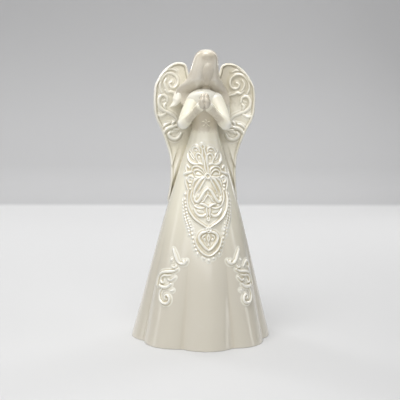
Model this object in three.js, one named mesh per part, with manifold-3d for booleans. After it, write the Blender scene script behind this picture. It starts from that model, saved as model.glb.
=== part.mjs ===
// Standing angel figurine in glazed porcelain, 250 mm tall.
// The gown and the bust are hollow slip castings, open at the foot. The head, the hair, the arms, the hands
// and the wings are castings of their own, luted on with slip, and the scrollwork is pressed relief (sprigs)
// luted onto the gown and the wings. Millimetres, +Z up. The figure faces -Y, and the origin is the middle
// of the foot. Left and right are the figure's own, so its left side is at +X.
import * as THREE from "three";
import { mergeVertices } from "three/addons/utils/BufferGeometryUtils.js";
import Module from "manifold-3d";

const wasm = await Module();
wasm.setup();

// Clay
const wall = 3.2; // wall of the hollow slip castings
const slipSeam = 0.3; // slip joint between two castings
const overrun = 2; // how far a cutter runs past what it cuts

// Gown
const gownHeight = 172;
const hemHalfWidth = 61.5;
const hemHalfDepth = 55.5;
const hemFlare = 3.5; // how far the hem kicks out beyond the cone
const hemFlarePower = 5;
const waistHalfWidth = 14;
const waistHalfDepth = 10.8;
const gownSideBulge = 3;
const gownFrontBulge = 3;
const foldCount = 8;
const foldDepth = 5;
const foldTopShare = 0.62; // of the gown's height, where the folds have died out
const foldFadePower = 1.3;
const foldRoundPower = 0.7;

// Bust
const bustHeight = 43;
const bustTurn = 8; // degrees, in which the bust and the arms face the figure's right
const chestHalfWidth = 13.6;
const chestHalfDepth = 10.2;
const neckRadius = 4.6;
const bustHollowShare = 0.7; // of the bust's height, how far up the hollow reaches
// share of the bust's height, then its half width and half depth as shares of the chest's
const bustProfileShares = [
  [0, 1.03, 1.06],
  [0.16, 0.9, 0.97],
  [0.32, 0.79, 0.9],
  [0.5, 0.82, 0.93],
  [0.66, 0.94, 0.98],
  [0.8, 1, 0.92],
  [0.92, 0.78, 0.72],
  [1, 0.46, 0.52],
];

// Head
const headHalfWidth = 8.4;
const headHalfDepth = 10.6;
const headHalfHeight = 13.6;
const headRise = 16.5; // from the top of the bust to the middle of the head
const headForward = 7.6;
const headBow = 18; // degrees, forwards
const chinTaper = 0.42;

// Hair
const hairThickness = 4.9; // over the crown of the head
const hairDrop = 41; // from the crown to the hem of the mantle
const hairSideCover = 2.3; // beyond the sides of the head
const hairFrontCover = 0.9; // beyond the face
const hairBackCover = 1.6;
const rightHairFlare = 14.5;
const leftHairFlare = 10.6;
const hairTuckBack = 7; // how far the hem lies behind the crown
const hairFrontTuck = 10.5;
const hairBackFlare = 0.4;
const faceOpening = 5.2; // half the gap between the two curtains of hair
const faceOpeningDepth = 3.4;
const hairDomeShare = 0.34; // of the hair's drop, where the dome of the crown ends
const hairDomePower = 3.2; // 2 would be a round dome, more is squarer
// share of the drop, then how far the mantle has spread on the figure's right and left
const hairFlareShares = [
  [0.3, 0, 0],
  [0.5, 0.165, 0.06],
  [0.66, 0.365, 0.275],
  [0.74, 0.56, 0.44],
  [0.81, 0.82, 0.635],
  [0.87, 0.945, 0.775],
  [1, 1, 1],
];
const rightLockLength = 14; // the lock that flicks outwards on the right
const rightLockSweep = 8.8;
const leftLockLength = 16.5; // the lock that hangs behind the left arm
const leftLockSweep = 4.2;
const leftLockSetback = 5.5;
const lockRadius = 3.7;
const lockRootShare = 0.86; // of the hair's drop
const lockTipShare = 0.2;

// Arms
const shoulderReach = 9.4;
const shoulderForward = 2.5;
const shoulderBelowNeck = 6.6;
const shoulderRadius = 7.2;
const elbowReach = 18;
const elbowForward = 12;
const elbowDrop = 28; // below the top of the bust
const elbowRadius = 5;
const sleevePuff = 0.6;
const cuffForward = 22;
const cuffDrop = 13.4;
const cuffReach = 3.4;
const cuffRadius = 4.1;
const forearmRadius = 3.3;

// Hands
const handLength = 15;
const handLean = 24; // degrees, forwards from upright
const palmWidth = 8.4;
const palmThickness = 4.7;
const fingerRadius = 1.8;
const thumbRadius = 1.5;
const thumbLength = 6.5;
const wristTuck = 1.6; // how far the palm starts inside the cuffs

// Wings
const wingTop = 239;
const wingTail = 117;
const wingHalfSpan = 44.3;
const wingSpineGap = 1; // from the middle of the back to each wing's inner edge
const wingThickness = 3;
const wingRimWidth = 2.8;
const wingRimHeight = 1.1;
const wingSpineSetback = 1.9; // behind the back of the bust
const wingLeanBack = 3; // of the wing's top, beyond that
const wingCup = 11; // how far the tip of the span comes forward
const wingWrapGap = 6.5; // from the gown's side to the wing's tail
const wingWrapSetback = 0.9;
const wingShelf = 3; // how far the tail's margin lies behind the middle plane, beside the gown
const wingShelfGap = 2; // from the gown's side to that margin
const wingShelfSlope = 0.07; // per mm of the gown's half depth, rising inwards from the margin
// share of the height from the tail to the top, then the inner and outer edges as shares of the span
const wingOutlineShares = [
  [0, 0.6, 0.68],
  [0.03, 0.47, 0.7],
  [0.08, 0.36, 0.68],
  [0.14, 0.24, 0.66],
  [0.23, 0.09, 0.65],
  [0.31, 0.02, 0.66],
  [0.43, 0, 0.75],
  [0.54, 0, 0.87],
  [0.6, 0, 0.95],
  [0.66, 0, 0.99],
  [0.74, 0.02, 1],
  [0.82, 0.12, 0.985],
  [0.9, 0.27, 0.885],
  [0.96, 0.34, 0.745],
  [0.985, 0.38, 0.645],
  [1, 0.45, 0.54],
];

// Relief
const medallionHalfWidth = 20;
const medallionHeight = 122; // of its middle, above the foot
const sprayReach = 22.5; // half the size of a hem spray
const sprayHeight = 58.5;
const sprayAngle = 45; // degrees round from the front
const wingScrollReach = 20;
const wingScrollAcross = 30;
const wingScrollHeight = 201;
const reliefHeight = 1.1;

// Fineness of the facets
const gownSides = 64;
const gownSteps = 9;
const gownStepPower = 1.25; // crowds the rings towards the hem
const hollowSteps = 3;
const bustSides = 24;
const headSides = 20;
const headSteps = 10;
const hairSides = 28;
const hairSteps = 13;
const limbSides = 12;
const fingerSides = 6;
const limbSteps = 5;
const capSteps = 2;
const wingRows = 18;
const wingColumns = 7;
const strokePitch = 3.7; // length of a facet along a stroke of relief

const bustTop = gownHeight + bustHeight;
const foldTop = gownHeight * foldTopShare;
const headMiddle = bustTop + headRise;
const crown = headMiddle + headHalfHeight + hairThickness;

const glaze = new THREE.MeshStandardMaterial({ color: 0xe9e3cf, roughness: 0.16, metalness: 0 });
const reliefGlaze = new THREE.MeshStandardMaterial({ color: 0xf0ebda, roughness: 0.14, metalness: 0 });

// Helpers

const smooth = (low, high, value) => THREE.MathUtils.smoothstep(value, low, high);
const blend = THREE.MathUtils.lerp;
const degrees = THREE.MathUtils.degToRad;
const vector = (x, y, z) => new THREE.Vector3(x, y, z);

// A smooth curve through one column of a table whose first column rises, without overshoot.
function through(table, at, column) {
  const last = table.length - 1;
  if (at <= table[0][0]) return table[0][column];
  if (at >= table[last][0]) return table[last][column];
  const i = table.findIndex((row) => row[0] > at) - 1;
  const slope = (k) => (table[k + 1][column] - table[k][column]) / (table[k + 1][0] - table[k][0]);
  const tangent = (k) => {
    if (k === 0 || k === last) return slope(Math.min(k, last - 1));
    const [before, after] = [slope(k - 1), slope(k)];
    return before * after <= 0 ? 0 : (2 * before * after) / (before + after);
  };
  const run = table[i + 1][0] - table[i][0];
  const t = (at - table[i][0]) / run;
  const ease = t * t * (3 - 2 * t);
  return (
    blend(table[i][column], table[i + 1][column], ease) +
    run * t * (1 - t) * ((1 - t) * tangent(i) - t * tangent(i + 1))
  );
}

// A closed geometry as a solid.
function toSolid(geometry) {
  geometry.deleteAttribute("normal");
  geometry.deleteAttribute("uv");
  const merged = mergeVertices(geometry);
  const { array } = merged.attributes.position;
  return new wasm.Manifold(
    new wasm.Mesh({ numProp: 3, vertProperties: array, triVerts: new Uint32Array(merged.index.array) }),
  );
}

// A solid through rings of points, all with as many points. The end rings are fanned shut, or joined to
// each other where the rings close on themselves.
function loft(rings, closesOnItself = false) {
  const sides = rings[0].length;
  const points = rings.flat();
  const faces = [];
  const count = closesOnItself ? rings.length : rings.length - 1;
  for (let i = 0; i < count; i++) {
    const here = i * sides;
    const there = ((i + 1) % rings.length) * sides;
    for (let j = 0; j < sides; j++) {
      const next = (j + 1) % sides;
      faces.push(here + j, here + next, there + next, here + j, there + next, there + j);
    }
  }
  const ends = closesOnItself ? [] : [[0, true], [(rings.length - 1) * sides, false]];
  for (const [start, flip] of ends) {
    const middle = vector(0, 0, 0);
    for (let j = 0; j < sides; j++) middle.addScaledVector(points[start + j], 1 / sides);
    const hub = points.push(middle) - 1;
    for (let j = 0; j < sides; j++) {
      const [a, b] = [start + j, start + ((j + 1) % sides)];
      faces.push(...(flip ? [hub, b, a] : [hub, a, b]));
    }
  }
  const geometry = new THREE.BufferGeometry().setFromPoints(points);
  geometry.setIndex(faces);
  const solid = toSolid(geometry);
  if (solid.volume() > 0) return solid;
  for (let i = 0; i < faces.length; i += 3) [faces[i], faces[i + 1]] = [faces[i + 1], faces[i]];
  geometry.setIndex(faces);
  return toSolid(geometry);
}

// A ring of points round an axis, from a function of the angle. Angle 0 is the front, -Y.
function ring(sides, place) {
  return Array.from({ length: sides }, (_, j) => place((j / sides) * 2 * Math.PI));
}

// A level oval ring.
function oval(sides, halfWidth, halfDepth, [x, y, z]) {
  return ring(sides, (angle) => vector(x + halfWidth * Math.sin(angle), y - halfDepth * Math.cos(angle), z));
}

// A rounded limb: a tube along a curve with a round cap at each end. Its radius at a share of its length
// comes from a function, and it can be flattened across.
function limb(points, radiusAt, { sides = limbSides, steps = limbSteps, flat = 1 } = {}) {
  const curve = new THREE.CatmullRomCurve3(points);
  const frames = curve.computeFrenetFrames(steps);
  const stations = [];
  for (let i = capSteps; i > 0; i--) {
    const turn = ((i - 0.4) / capSteps) * (Math.PI / 2);
    stations.push([0, 0, -Math.sin(turn), Math.cos(turn)]);
  }
  for (let i = 0; i <= steps; i++) stations.push([i, i / steps, 0, 1]);
  for (let i = 1; i <= capSteps; i++) {
    const turn = ((i - 0.4) / capSteps) * (Math.PI / 2);
    stations.push([steps, 1, Math.sin(turn), Math.cos(turn)]);
  }
  return loft(
    stations.map(([index, share, beyond, round]) => {
      const radius = radiusAt(share);
      const centre = curve.getPointAt(share).addScaledVector(frames.tangents[index], beyond * radius);
      return ring(sides, (angle) =>
        centre
          .clone()
          .addScaledVector(frames.normals[index], Math.cos(angle) * radius * round * flat)
          .addScaledVector(frames.binormals[index], Math.sin(angle) * radius * round),
      );
    }),
  );
}

const joined = (solids) => solids.reduce((whole, next) => whole.add(next));
const cutBy = (solid, cutters) => cutters.reduce((left, cutter) => left.subtract(cutter), solid);

// The largest body of a solid, without the slivers that a cut can leave.
function mainBody(solid) {
  return solid.decompose().reduce((best, body) => (body.volume() > best.volume() ? body : best));
}

// Gown

// Half width and half depth of the gown at a height, before its folds.
function gownSize(height) {
  const up = THREE.MathUtils.clamp(height / gownHeight, 0, 1);
  const bulge = 4 * up * (1 - up);
  const flare = hemFlare * (1 - up) ** hemFlarePower;
  return [
    blend(hemHalfWidth - hemFlare, waistHalfWidth, up) + gownSideBulge * bulge + flare,
    blend(hemHalfDepth - hemFlare, waistHalfDepth, up) + gownFrontBulge * bulge + flare,
  ];
}

// A point on the gown's outside. The folds are rounded lobes that deepen towards the hem.
function gownPoint(angle, height, grow = 0) {
  const [halfWidth, halfDepth] = gownSize(height);
  const fade = Math.max(0, 1 - height / foldTop) ** foldFadePower;
  const lobe = Math.abs(Math.cos((angle * foldCount) / 2)) ** foldRoundPower;
  const inset = foldDepth * fade * (1 - lobe) - grow;
  return vector((halfWidth - inset) * Math.sin(angle), -(halfDepth - inset) * Math.cos(angle), height);
}

function gownRings(steps, grow) {
  return Array.from({ length: steps + 1 }, (_, i) =>
    ring(gownSides, (angle) => gownPoint(angle, gownHeight * (i / steps) ** gownStepPower, grow)),
  );
}

function gownShell() {
  return loft([...gownRings(gownSteps, 0), ...gownRings(hollowSteps, -wall).reverse()], true);
}

// Bust

function bustRings(grow) {
  return bustProfileShares.map(([up, wide, deep]) => {
    const height = gownHeight + slipSeam + (bustHeight - slipSeam) * up + grow * (2 * up - 1);
    return oval(bustSides, chestHalfWidth * wide + grow, chestHalfDepth * deep + grow, [0, 0, height]);
  });
}

function bustForm(grow = 0) {
  return loft(bustRings(grow));
}

function bust() {
  const hollowRows = bustProfileShares.filter(([up]) => up < bustHollowShare).length;
  const hollow = bustRings(-wall).slice(0, hollowRows);
  const mouth = hollow[0].map((point) => point.clone().setZ(gownHeight - overrun));
  const dome = oval(bustSides, neckRadius, neckRadius, [0, 0, gownHeight + bustHeight * bustHollowShare]);
  return bustForm().subtract(loft([mouth, ...hollow, dome]));
}

// Head: an egg, narrower at the chin, bowed forward on a short neck.

function headForm(grow = 0) {
  const bow = new THREE.Matrix4().makeRotationX(degrees(headBow));
  const rings = [];
  for (let i = 1; i < headSteps; i++) {
    const turn = (i / headSteps) * Math.PI;
    const level = -Math.cos(turn);
    const round = Math.sin(turn) * (1 - (chinTaper * (1 - level)) / 2);
    const level0 = oval(headSides, (headHalfWidth + grow) * round, (headHalfDepth + grow) * round, [
      0,
      0,
      (headHalfHeight + grow) * level,
    ]);
    rings.push(level0.map((point) => point.applyMatrix4(bow).add(vector(0, -headForward, headMiddle))));
  }
  const neck = loft([
    oval(headSides, neckRadius + grow, neckRadius + grow, [0, 0, bustTop - overrun - grow]),
    oval(headSides, neckRadius + grow, neckRadius + grow, [0, -headForward, headMiddle]),
  ]);
  return loft(rings).add(neck);
}

// Hair: a mantle from the crown, parted over the face and spreading over the shoulders, with a lock that
// flicks outwards on the right and a longer one that hangs behind the left arm.

function hairPoint(angle, share, grow = 0) {
  const side = Math.sin(angle);
  const front = Math.cos(angle);
  const toDome = 1 - Math.min(share / hairDomeShare, 1);
  const domeWide = (1 - toDome ** hairDomePower) ** (1 / hairDomePower);
  const domeDeep = Math.sqrt(1 - toDome ** 2);
  const hangs = smooth(hairDomeShare, 1, share);
  const flare =
    side < 0
      ? rightHairFlare * through(hairFlareShares, share, 1)
      : leftHairFlare * through(hairFlareShares, share, 2);
  const halfWidth = (headHalfWidth + hairSideCover) * domeWide + flare + grow;
  const tuck = hairFrontTuck * smooth(0.45, 0.9, share);
  const depthFront = (headHalfDepth + hairFrontCover) * domeDeep - tuck + grow;
  const depthBack = (headHalfDepth + hairBackCover) * domeDeep + hairBackFlare * hangs + grow;
  const across = Math.abs(halfWidth * side) / faceOpening;
  const notch = front > 0 ? Math.exp(-(across ** 4)) * smooth(0.1, hairDomeShare, share) : 0;
  const thin = Math.abs(front) ** (0.6 * hangs);
  const depth = (front > 0 ? depthFront - faceOpeningDepth * notch : depthBack) * thin;
  return vector(
    halfWidth * side,
    -headForward + hairTuckBack * hangs - depth * front,
    crown + grow - (hairDrop + 2 * grow) * share,
  );
}

function hairForm(grow = 0) {
  const rings = [];
  for (let i = 0; i <= hairSteps; i++) {
    const share = Math.max(i / hairSteps, 0.05) ** 1.6;
    rings.push(ring(hairSides, (angle) => hairPoint(angle, share, grow)));
  }
  return loft(rings);
}

const locks = {
  right: { angle: -Math.PI / 2, sweep: -rightLockSweep, length: rightLockLength, setback: lockRadius },
  left: { angle: Math.PI / 2, sweep: leftLockSweep, length: leftLockLength, setback: leftLockSetback },
};

function lockForm({ angle, sweep, length, setback }, grow = 0) {
  const inset = -Math.sign(sweep) * lockRadius * 1.2;
  const root = hairPoint(angle, lockRootShare).add(vector(inset, setback, 0));
  const middle = root.clone().add(vector(sweep * 0.32, 0, -length * 0.5));
  const tip = root.clone().add(vector(sweep, -lockRadius * 0.4, -length));
  const radiusAt = (share) => lockRadius * blend(1, lockTipShare, smooth(0.25, 1, share)) + grow;
  return limb([root, middle, tip], radiusAt);
}

// Arms: a sleeve from the shoulder to the elbow, and a forearm from there to its cuff. The side is -1 on the
// figure's right and 1 on its left.

const turned = (point) => point.applyAxisAngle(vector(0, 0, 1), degrees(-bustTurn));
const shoulderAt = (side) =>
  turned(vector(side * shoulderReach, -shoulderForward, bustTop - shoulderBelowNeck));
const elbowAt = (side) => turned(vector(side * elbowReach, -elbowForward, bustTop - elbowDrop));
const cuffAt = (side) => turned(vector(side * cuffReach, -cuffForward, bustTop - cuffDrop));

function sleeveForm(side, grow = 0) {
  const [top, bottom] = [shoulderAt(side), elbowAt(side)];
  const middle = top.clone().lerp(bottom, 0.5).add(vector(side * sleevePuff, 0, 0));
  return limb([top, middle, bottom], (share) => blend(shoulderRadius, elbowRadius, share) + grow);
}

function forearmForm(side, grow = 0) {
  const [bottom, top] = [elbowAt(side), cuffAt(side)];
  return limb([bottom, bottom.clone().lerp(top, 0.5), top], (share) => {
    const taper = blend(elbowRadius, forearmRadius, smooth(0, 0.6, share));
    return blend(taper, cuffRadius, smooth(0.7, 1, share)) + grow;
  });
}

// Everything on one side of the plane in which the hands meet.
function halfSpace(side, grow = 0) {
  const block = new THREE.BoxGeometry(bustTop, bustTop, bustTop * 2);
  block.translate(side * (bustTop / 2 + slipSeam / 2 - grow), 0, 0);
  block.rotateZ(degrees(-bustTurn));
  return toSolid(block.toNonIndexed());
}

// Hands: each a palm with four fingers and a thumb, its flat side against the other hand.

const palmProfileShares = [
  [0, 0.7, 0.8],
  [0.14, 0.84, 0.92],
  [0.32, 1, 1],
  [0.5, 0.98, 0.9],
  [0.62, 0.9, 0.7],
];
const fingerLengthShares = [0.9, 0.98, 1, 0.86];

function handForm(side, grow = 0) {
  const lean = new THREE.Matrix4().makeRotationX(degrees(handLean));
  const wrist = vector(0, -cuffForward, bustTop - cuffDrop - wristTuck);
  const place = (across, forward, up) =>
    turned(vector(side * across, -forward, up).applyMatrix4(lean).add(wrist));
  const palm = loft(
    palmProfileShares.map(([up, wide, thick]) =>
      ring(limbSides, (angle) =>
        place(
          (palmThickness * thick + grow) * Math.sin(angle),
          ((palmWidth * wide) / 2 + grow) * Math.cos(angle),
          handLength * up + grow * (2 * up - 1),
        ),
      ),
    ),
  );
  const fingers = fingerLengthShares.map((long, i) => {
    const forward = palmWidth * (0.36 - 0.24 * i);
    const from = place(fingerRadius * 1.1, forward, handLength * 0.36);
    const to = place(fingerRadius * 0.8, forward * 0.75, handLength * long - fingerRadius);
    const radiusAt = (share) => fingerRadius * blend(1.25, 0.8, share) + grow;
    return limb([from, to], radiusAt, { sides: fingerSides, steps: 1 });
  });
  const thumb = limb(
    [
      place(thumbRadius * 0.7, -palmWidth * 0.3, handLength * 0.2),
      place(thumbRadius * 0.7, -palmWidth * 0.62, handLength * 0.2 + thumbLength),
    ],
    (share) => thumbRadius * blend(1.2, 0.8, share) + grow,
    { sides: fingerSides, steps: 1 },
  );
  return joined([palm, ...fingers, thumb]).intersect(halfSpace(side, grow));
}

// Wings

// How far behind the middle plane the wing lies. Its tail wraps the gown, and its top is cupped forward.
function wingSetback(across, height) {
  const [halfWidth, halfDepth] = gownSize(height);
  const round = Math.max(0, 1 - (across / (halfWidth + wingWrapGap)) ** 2);
  const inwards = Math.max(0, halfWidth + wingShelfGap - across);
  const shelf = wingShelf + wingShelfSlope * halfDepth * inwards;
  const wrapped = Math.min((halfDepth + wingWrapSetback) * Math.sqrt(round), shelf);
  const lean = wingLeanBack * smooth(bustTop - elbowDrop, wingTop, height);
  const cupped = chestHalfDepth + wingSpineSetback + lean - wingCup * (across / wingHalfSpan) ** 2;
  return blend(wrapped, cupped, smooth(gownHeight * 0.78, gownHeight, height));
}

// The front of a wing, which is dished inside a raised rim.
function wingFront(across, height, side, offset = 0) {
  const up = (height - wingTail) / (wingTop - wingTail);
  const toEdge = Math.min(wingHalfSpan * through(wingOutlineShares, up, 2) - across, wingTop - height);
  const rim = wingRimHeight * (1 - smooth(0, wingRimWidth, toEdge));
  return vector(side * across, wingSetback(across, height) - wingThickness / 2 - rim - offset, height);
}

function wingForm(side, grow = 0) {
  const rings = [];
  for (let i = 0; i <= wingRows; i++) {
    const even = i / wingRows;
    const up = blend(even, (1 - Math.cos(even * Math.PI)) / 2, 0.7);
    const height = blend(wingTail, wingTop, up);
    const inner = wingSpineGap + wingHalfSpan * through(wingOutlineShares, up, 1) - grow;
    const outer = wingHalfSpan * through(wingOutlineShares, up, 2) + grow;
    const acrossAt = (j) => blend(inner, outer, (1 - Math.cos((j / wingColumns) * Math.PI)) / 2);
    const front = Array.from({ length: wingColumns + 1 }, (_, j) =>
      wingFront(acrossAt(j), height, side, grow),
    );
    const back = Array.from({ length: wingColumns - 1 }, (_, j) => {
      const across = acrossAt(wingColumns - 1 - j);
      return vector(side * across, wingSetback(across, height) + wingThickness / 2, height);
    });
    rings.push([...front, ...back]);
  }
  return loft(rings);
}

// Relief

// A stroke of relief along a path of [across, up] shares, laid on a surface. It swells in its middle and
// tapers to its ends.
const strokeSectionShares = [[-1, 0], [-0.5, 1], [0.5, 1], [1, 0]]; // half widths aside, heights up

function stroke([width, ...path], reach, lay) {
  const points = path.map(([across, up]) => vector(across * reach, up * reach, 0));
  const closed = points[0].equals(points[points.length - 1]);
  if (closed) points.pop();
  const curve = new THREE.CatmullRomCurve3(points, closed);
  const steps = Math.max(closed ? 8 : 4, Math.round(curve.getLength() / strokePitch));
  const stations = Array.from({ length: closed ? steps : steps + 1 }, (_, i) => i / steps);
  return loft(
    stations.map((share) => {
      const centre = curve.getPointAt(share);
      const along = curve.getTangentAt(share);
      const swell = closed ? 1 : 0.35 + 0.65 * Math.sin(Math.PI * (0.08 + 0.84 * share)) ** 0.7;
      return strokeSectionShares.map(([sideways, up]) => {
        const aside = sideways * (width / 2) * reach * swell;
        const rise = slipSeam + up * reliefHeight * swell;
        return lay(centre.x - along.y * aside, centre.y + along.x * aside, rise);
      });
    }),
    closed,
  );
}

function relief(strokeShares, reach, lay) {
  return joined(strokeShares.map((one) => stroke(one, reach, lay)));
}

// A stroke is its width and then its points, as shares of the half width of the relief that it is in, from
// that relief's middle. One that ends on its first point is a ring.

// Strokes of the gown's medallion. Those in its left half are mirrored.
const bowShares = [
  [0.1, [0, 1.1], [0, 1.5], [0, 2], [0, 2.38]],
  [0.09, [0.13, 1.07], [0, 1.2], [-0.13, 1.07], [0, 0.94], [0.13, 1.07]],
  [0.16, [0.05, 1.03], [0.16, 0.99], [0.28, 0.92], [0.42, 0.78], [0.5, 0.62]],
  [0.07, [0.03, 1.02], [0.1, 0.92], [0.2, 0.72], [0.32, 0.5], [0.44, 0.22]],
  [0.1, [0.04, 1.1], [0.1, 1.24], [0.18, 1.37], [0.36, 1.46],
    [0.55, 1.41], [0.62, 1.27], [0.54, 1.15], [0.42, 1.17]],
  [0.1, [0.04, 1.55], [0.15, 1.72], [0.24, 1.9], [0.4, 1.99], [0.55, 1.9], [0.55, 1.77], [0.46, 1.74]],
  [0.09, [0.04, 1.9], [0.14, 2.09], [0.3, 2.22], [0.47, 2.24], [0.57, 2.13], [0.51, 2.04]],
  [0.12, [0.55, 1.2], [0.63, 1.33], [0.72, 1.52], [0.77, 1.73], [0.7, 1.93]],
  [0.1, [0.42, 1.16], [0.56, 1.17], [0.74, 1.13], [0.92, 1], [0.92, 0.82], [0.8, 0.72], [0.69, 0.8]],
  [0.13, [0.62, 1.16], [0.66, 0.98], [0.66, 0.8], [0.62, 0.66]],
];
const frameShares = [
  [0.08, [0, -1.03], [0.25, -0.94], [0.5, -0.78], [0.73, -0.55],
    [0.87, -0.25], [0.9, 0.05], [0.83, 0.35], [0.66, 0.52]],
  [0.16, [0, -1.03], [0, -0.78], [0, -0.5]],
  [0.1, [0.02, -0.72], [0.22, -0.6], [0.43, -0.6], [0.56, -0.45], [0.53, -0.3], [0.4, -0.25]],
  [0.13, [0, -0.5], [0.08, -0.28], [0.2, -0.14], [0.38, -0.08]],
  [0.08, [0, -0.55], [0, -0.1], [0, 0.2], [0, 0.5]],
  [0.13, [0, 0.52], [0.13, 0.4], [0.25, 0.2], [0.4, 0.05], [0.55, 0], [0.6, 0.12]],
];
const pendantShares = [
  [0.09, [0.65, -1.55], [0.57, -1.78], [0.4, -2.02], [0.18, -2.17], [0, -2.2]],
  [0.11, [0, -1.16], [0.16, -1.22], [0.33, -1.33], [0.4, -1.53], [0.3, -1.76], [0.15, -1.9], [0, -1.95]],
  [0.1, [0, -1.14], [0, -1.32], [0, -1.6]],
  [0.1, [0, -1.9], [0, -2.06], [0, -2.22]],
];
// Strokes of a spray over the hem, as shares of its reach.
const sprayShares = [
  [0.11, [-0.27, 1], [-0.36, 0.8], [-0.47, 0.56]],
  [0.1, [-0.44, 0.6], [-0.56, 0.58], [-0.68, 0.58]],
  [0.09, [-0.46, 0.58], [-0.28, 0.34], [0, 0.24], [0.27, 0.18]],
  [0.1, [0.22, 0.19], [0.46, 0.1], [0.6, -0.06], [0.57, -0.26],
    [0.36, -0.38], [0.13, -0.35], [-0.05, -0.22]],
  [0.07, [0.3, -0.34], [0.34, -0.12], [0.2, -0.03], [0.1, -0.08]],
  [0.09, [-0.46, 0.56], [-0.5, 0.2], [-0.46, -0.04]],
  [0.09, [-0.05, -0.2], [-0.2, -0.06], [-0.34, 0.05], [-0.46, 0.1]],
  [0.1, [0, 0.22], [0.1, 0.44], [0.3, 0.52], [0.44, 0.38]],
  [0.09, [0.36, -0.36], [0.5, -0.56], [0.48, -0.76], [0.3, -0.88],
    [0.1, -0.86], [-0.02, -0.73], [0.04, -0.6], [0.2, -0.62]],
];
// Strokes of the scrollwork in a wing, as shares of its reach from its middle.
const wingUpperShares = [
  [0.11, [0.18, 0.52], [-0.18, 0.6], [-0.3, 0.92], [-0.14, 1.26], [0.16, 1.32],
    [0.38, 1.1], [0.36, 0.76], [0.1, 0.62], [-0.06, 0.78]],
  [0.1, [-0.3, 1.02], [-0.4, 1.3], [-0.3, 1.56], [-0.12, 1.6]],
  [0.09, [-0.16, 1.24], [0, 1.46], [0.2, 1.46], [0.36, 1.3]],
  [0.12, [0.18, 0.54], [0.24, 0.3], [0.4, 0.52], [0.56, 0.38], [0.58, 0.14],
    [0.48, -0.04], [0.3, -0.14], [0.08, -0.28], [-0.1, -0.42], [-0.2, -0.5]],
  [0.11, [0.36, -0.1], [0.44, -0.34], [0.32, -0.54]],
];
const wingLowerShares = [
  [0.14, [-0.34, -0.72], [-0.14, -0.86], [0.1, -0.96], [0.32, -0.86]],
  [0.13, [0.26, -0.86], [0.3, -1.06], [0.16, -1.28], [-0.08, -1.42],
    [-0.32, -1.38], [-0.42, -1.2], [-0.28, -1.08], [-0.1, -1.12]],
];

function layOnGown(turn, height) {
  return (across, up, offset) => gownPoint(turn + across / gownSize(height + up)[0], height + up, offset);
}

const mirrored = (strokeShares) =>
  strokeShares.map(([width, ...path]) => [width, ...path.map(([across, up]) => [-across, up])]);
const inOneHalf = ([, ...path]) =>
  path.every(([across]) => across >= 0) && path.some(([across]) => across > 0);

// Assembly

const figurine = new THREE.Group();

function addPiece(name, solid, material) {
  const { vertProperties, triVerts } = mainBody(solid).getMesh();
  const geometry = new THREE.BufferGeometry();
  geometry.setAttribute("position", new THREE.BufferAttribute(vertProperties, 3));
  geometry.setIndex(new THREE.BufferAttribute(triVerts, 1));
  geometry.computeVertexNormals();
  const mesh = new THREE.Mesh(geometry, material.clone());
  mesh.name = name;
  figurine.add(mesh);
}

const gownCutter = loft(gownRings(gownSteps, slipSeam));
const bustCutter = bustForm(slipSeam);
const headCutter = headForm(slipSeam);
const hairCutter = hairForm(slipSeam);
const sleeveCutters = [sleeveForm(-1, slipSeam), sleeveForm(1, slipSeam)];
const lockCutters = Object.values(locks).map((one) => lockForm(one, slipSeam));
const handCutters = [handForm(-1, slipSeam), handForm(1, slipSeam)];

addPiece("gown_shell", gownShell(), glaze);
addPiece("bust", bust(), glaze);
addPiece("head", headForm().subtract(bustCutter), glaze);
addPiece("hair_mantle", cutBy(hairForm(), [headCutter, bustCutter, ...sleeveCutters]), glaze);

for (const [name, side] of [["right", -1], ["left", 1]]) {
  const lock = cutBy(lockForm(locks[name]), [hairCutter, bustCutter, ...sleeveCutters]);
  addPiece("hair_lock_" + name, lock, glaze);
  addPiece("sleeve_" + name, cutBy(sleeveForm(side), [bustCutter, forearmForm(side, slipSeam)]), glaze);
  const forearm = forearmForm(side).intersect(halfSpace(side));
  addPiece("forearm_" + name, cutBy(forearm, [bustCutter, ...handCutters]), glaze);
  addPiece("hand_" + name, handForm(side), glaze);
  const wing = cutBy(wingForm(side), [gownCutter, bustCutter, hairCutter, ...sleeveCutters, ...lockCutters]);
  addPiece("wing_" + name, wing, glaze);

  const onWing = (across, up, offset) =>
    wingFront(wingScrollAcross + across, wingScrollHeight + up, side, offset);
  const scrollCutters = [wingForm(side, slipSeam), hairCutter, ...sleeveCutters, ...lockCutters];
  for (const [level, shares] of Object.entries({ upper: wingUpperShares, lower: wingLowerShares })) {
    const scroll = cutBy(relief(shares, wingScrollReach, onWing), scrollCutters);
    addPiece(["wing_scroll", level, name].join("_"), scroll, reliefGlaze);
  }
  const sprayStrokes = side > 0 ? sprayShares : mirrored(sprayShares);
  const onHem = layOnGown(side * degrees(sprayAngle), sprayHeight);
  addPiece("hem_spray_" + name, relief(sprayStrokes, sprayReach, onHem), reliefGlaze);
}

const medallionParts = { bow: bowShares, frame: frameShares, pendant: pendantShares };
for (const [name, shares] of Object.entries(medallionParts)) {
  const whole = [...shares, ...mirrored(shares.filter(inOneHalf))];
  const onFront = layOnGown(0, medallionHeight);
  addPiece("medallion_" + name, relief(whole, medallionHalfWidth, onFront), reliefGlaze);
}

export default figurine;
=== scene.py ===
import math

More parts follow.
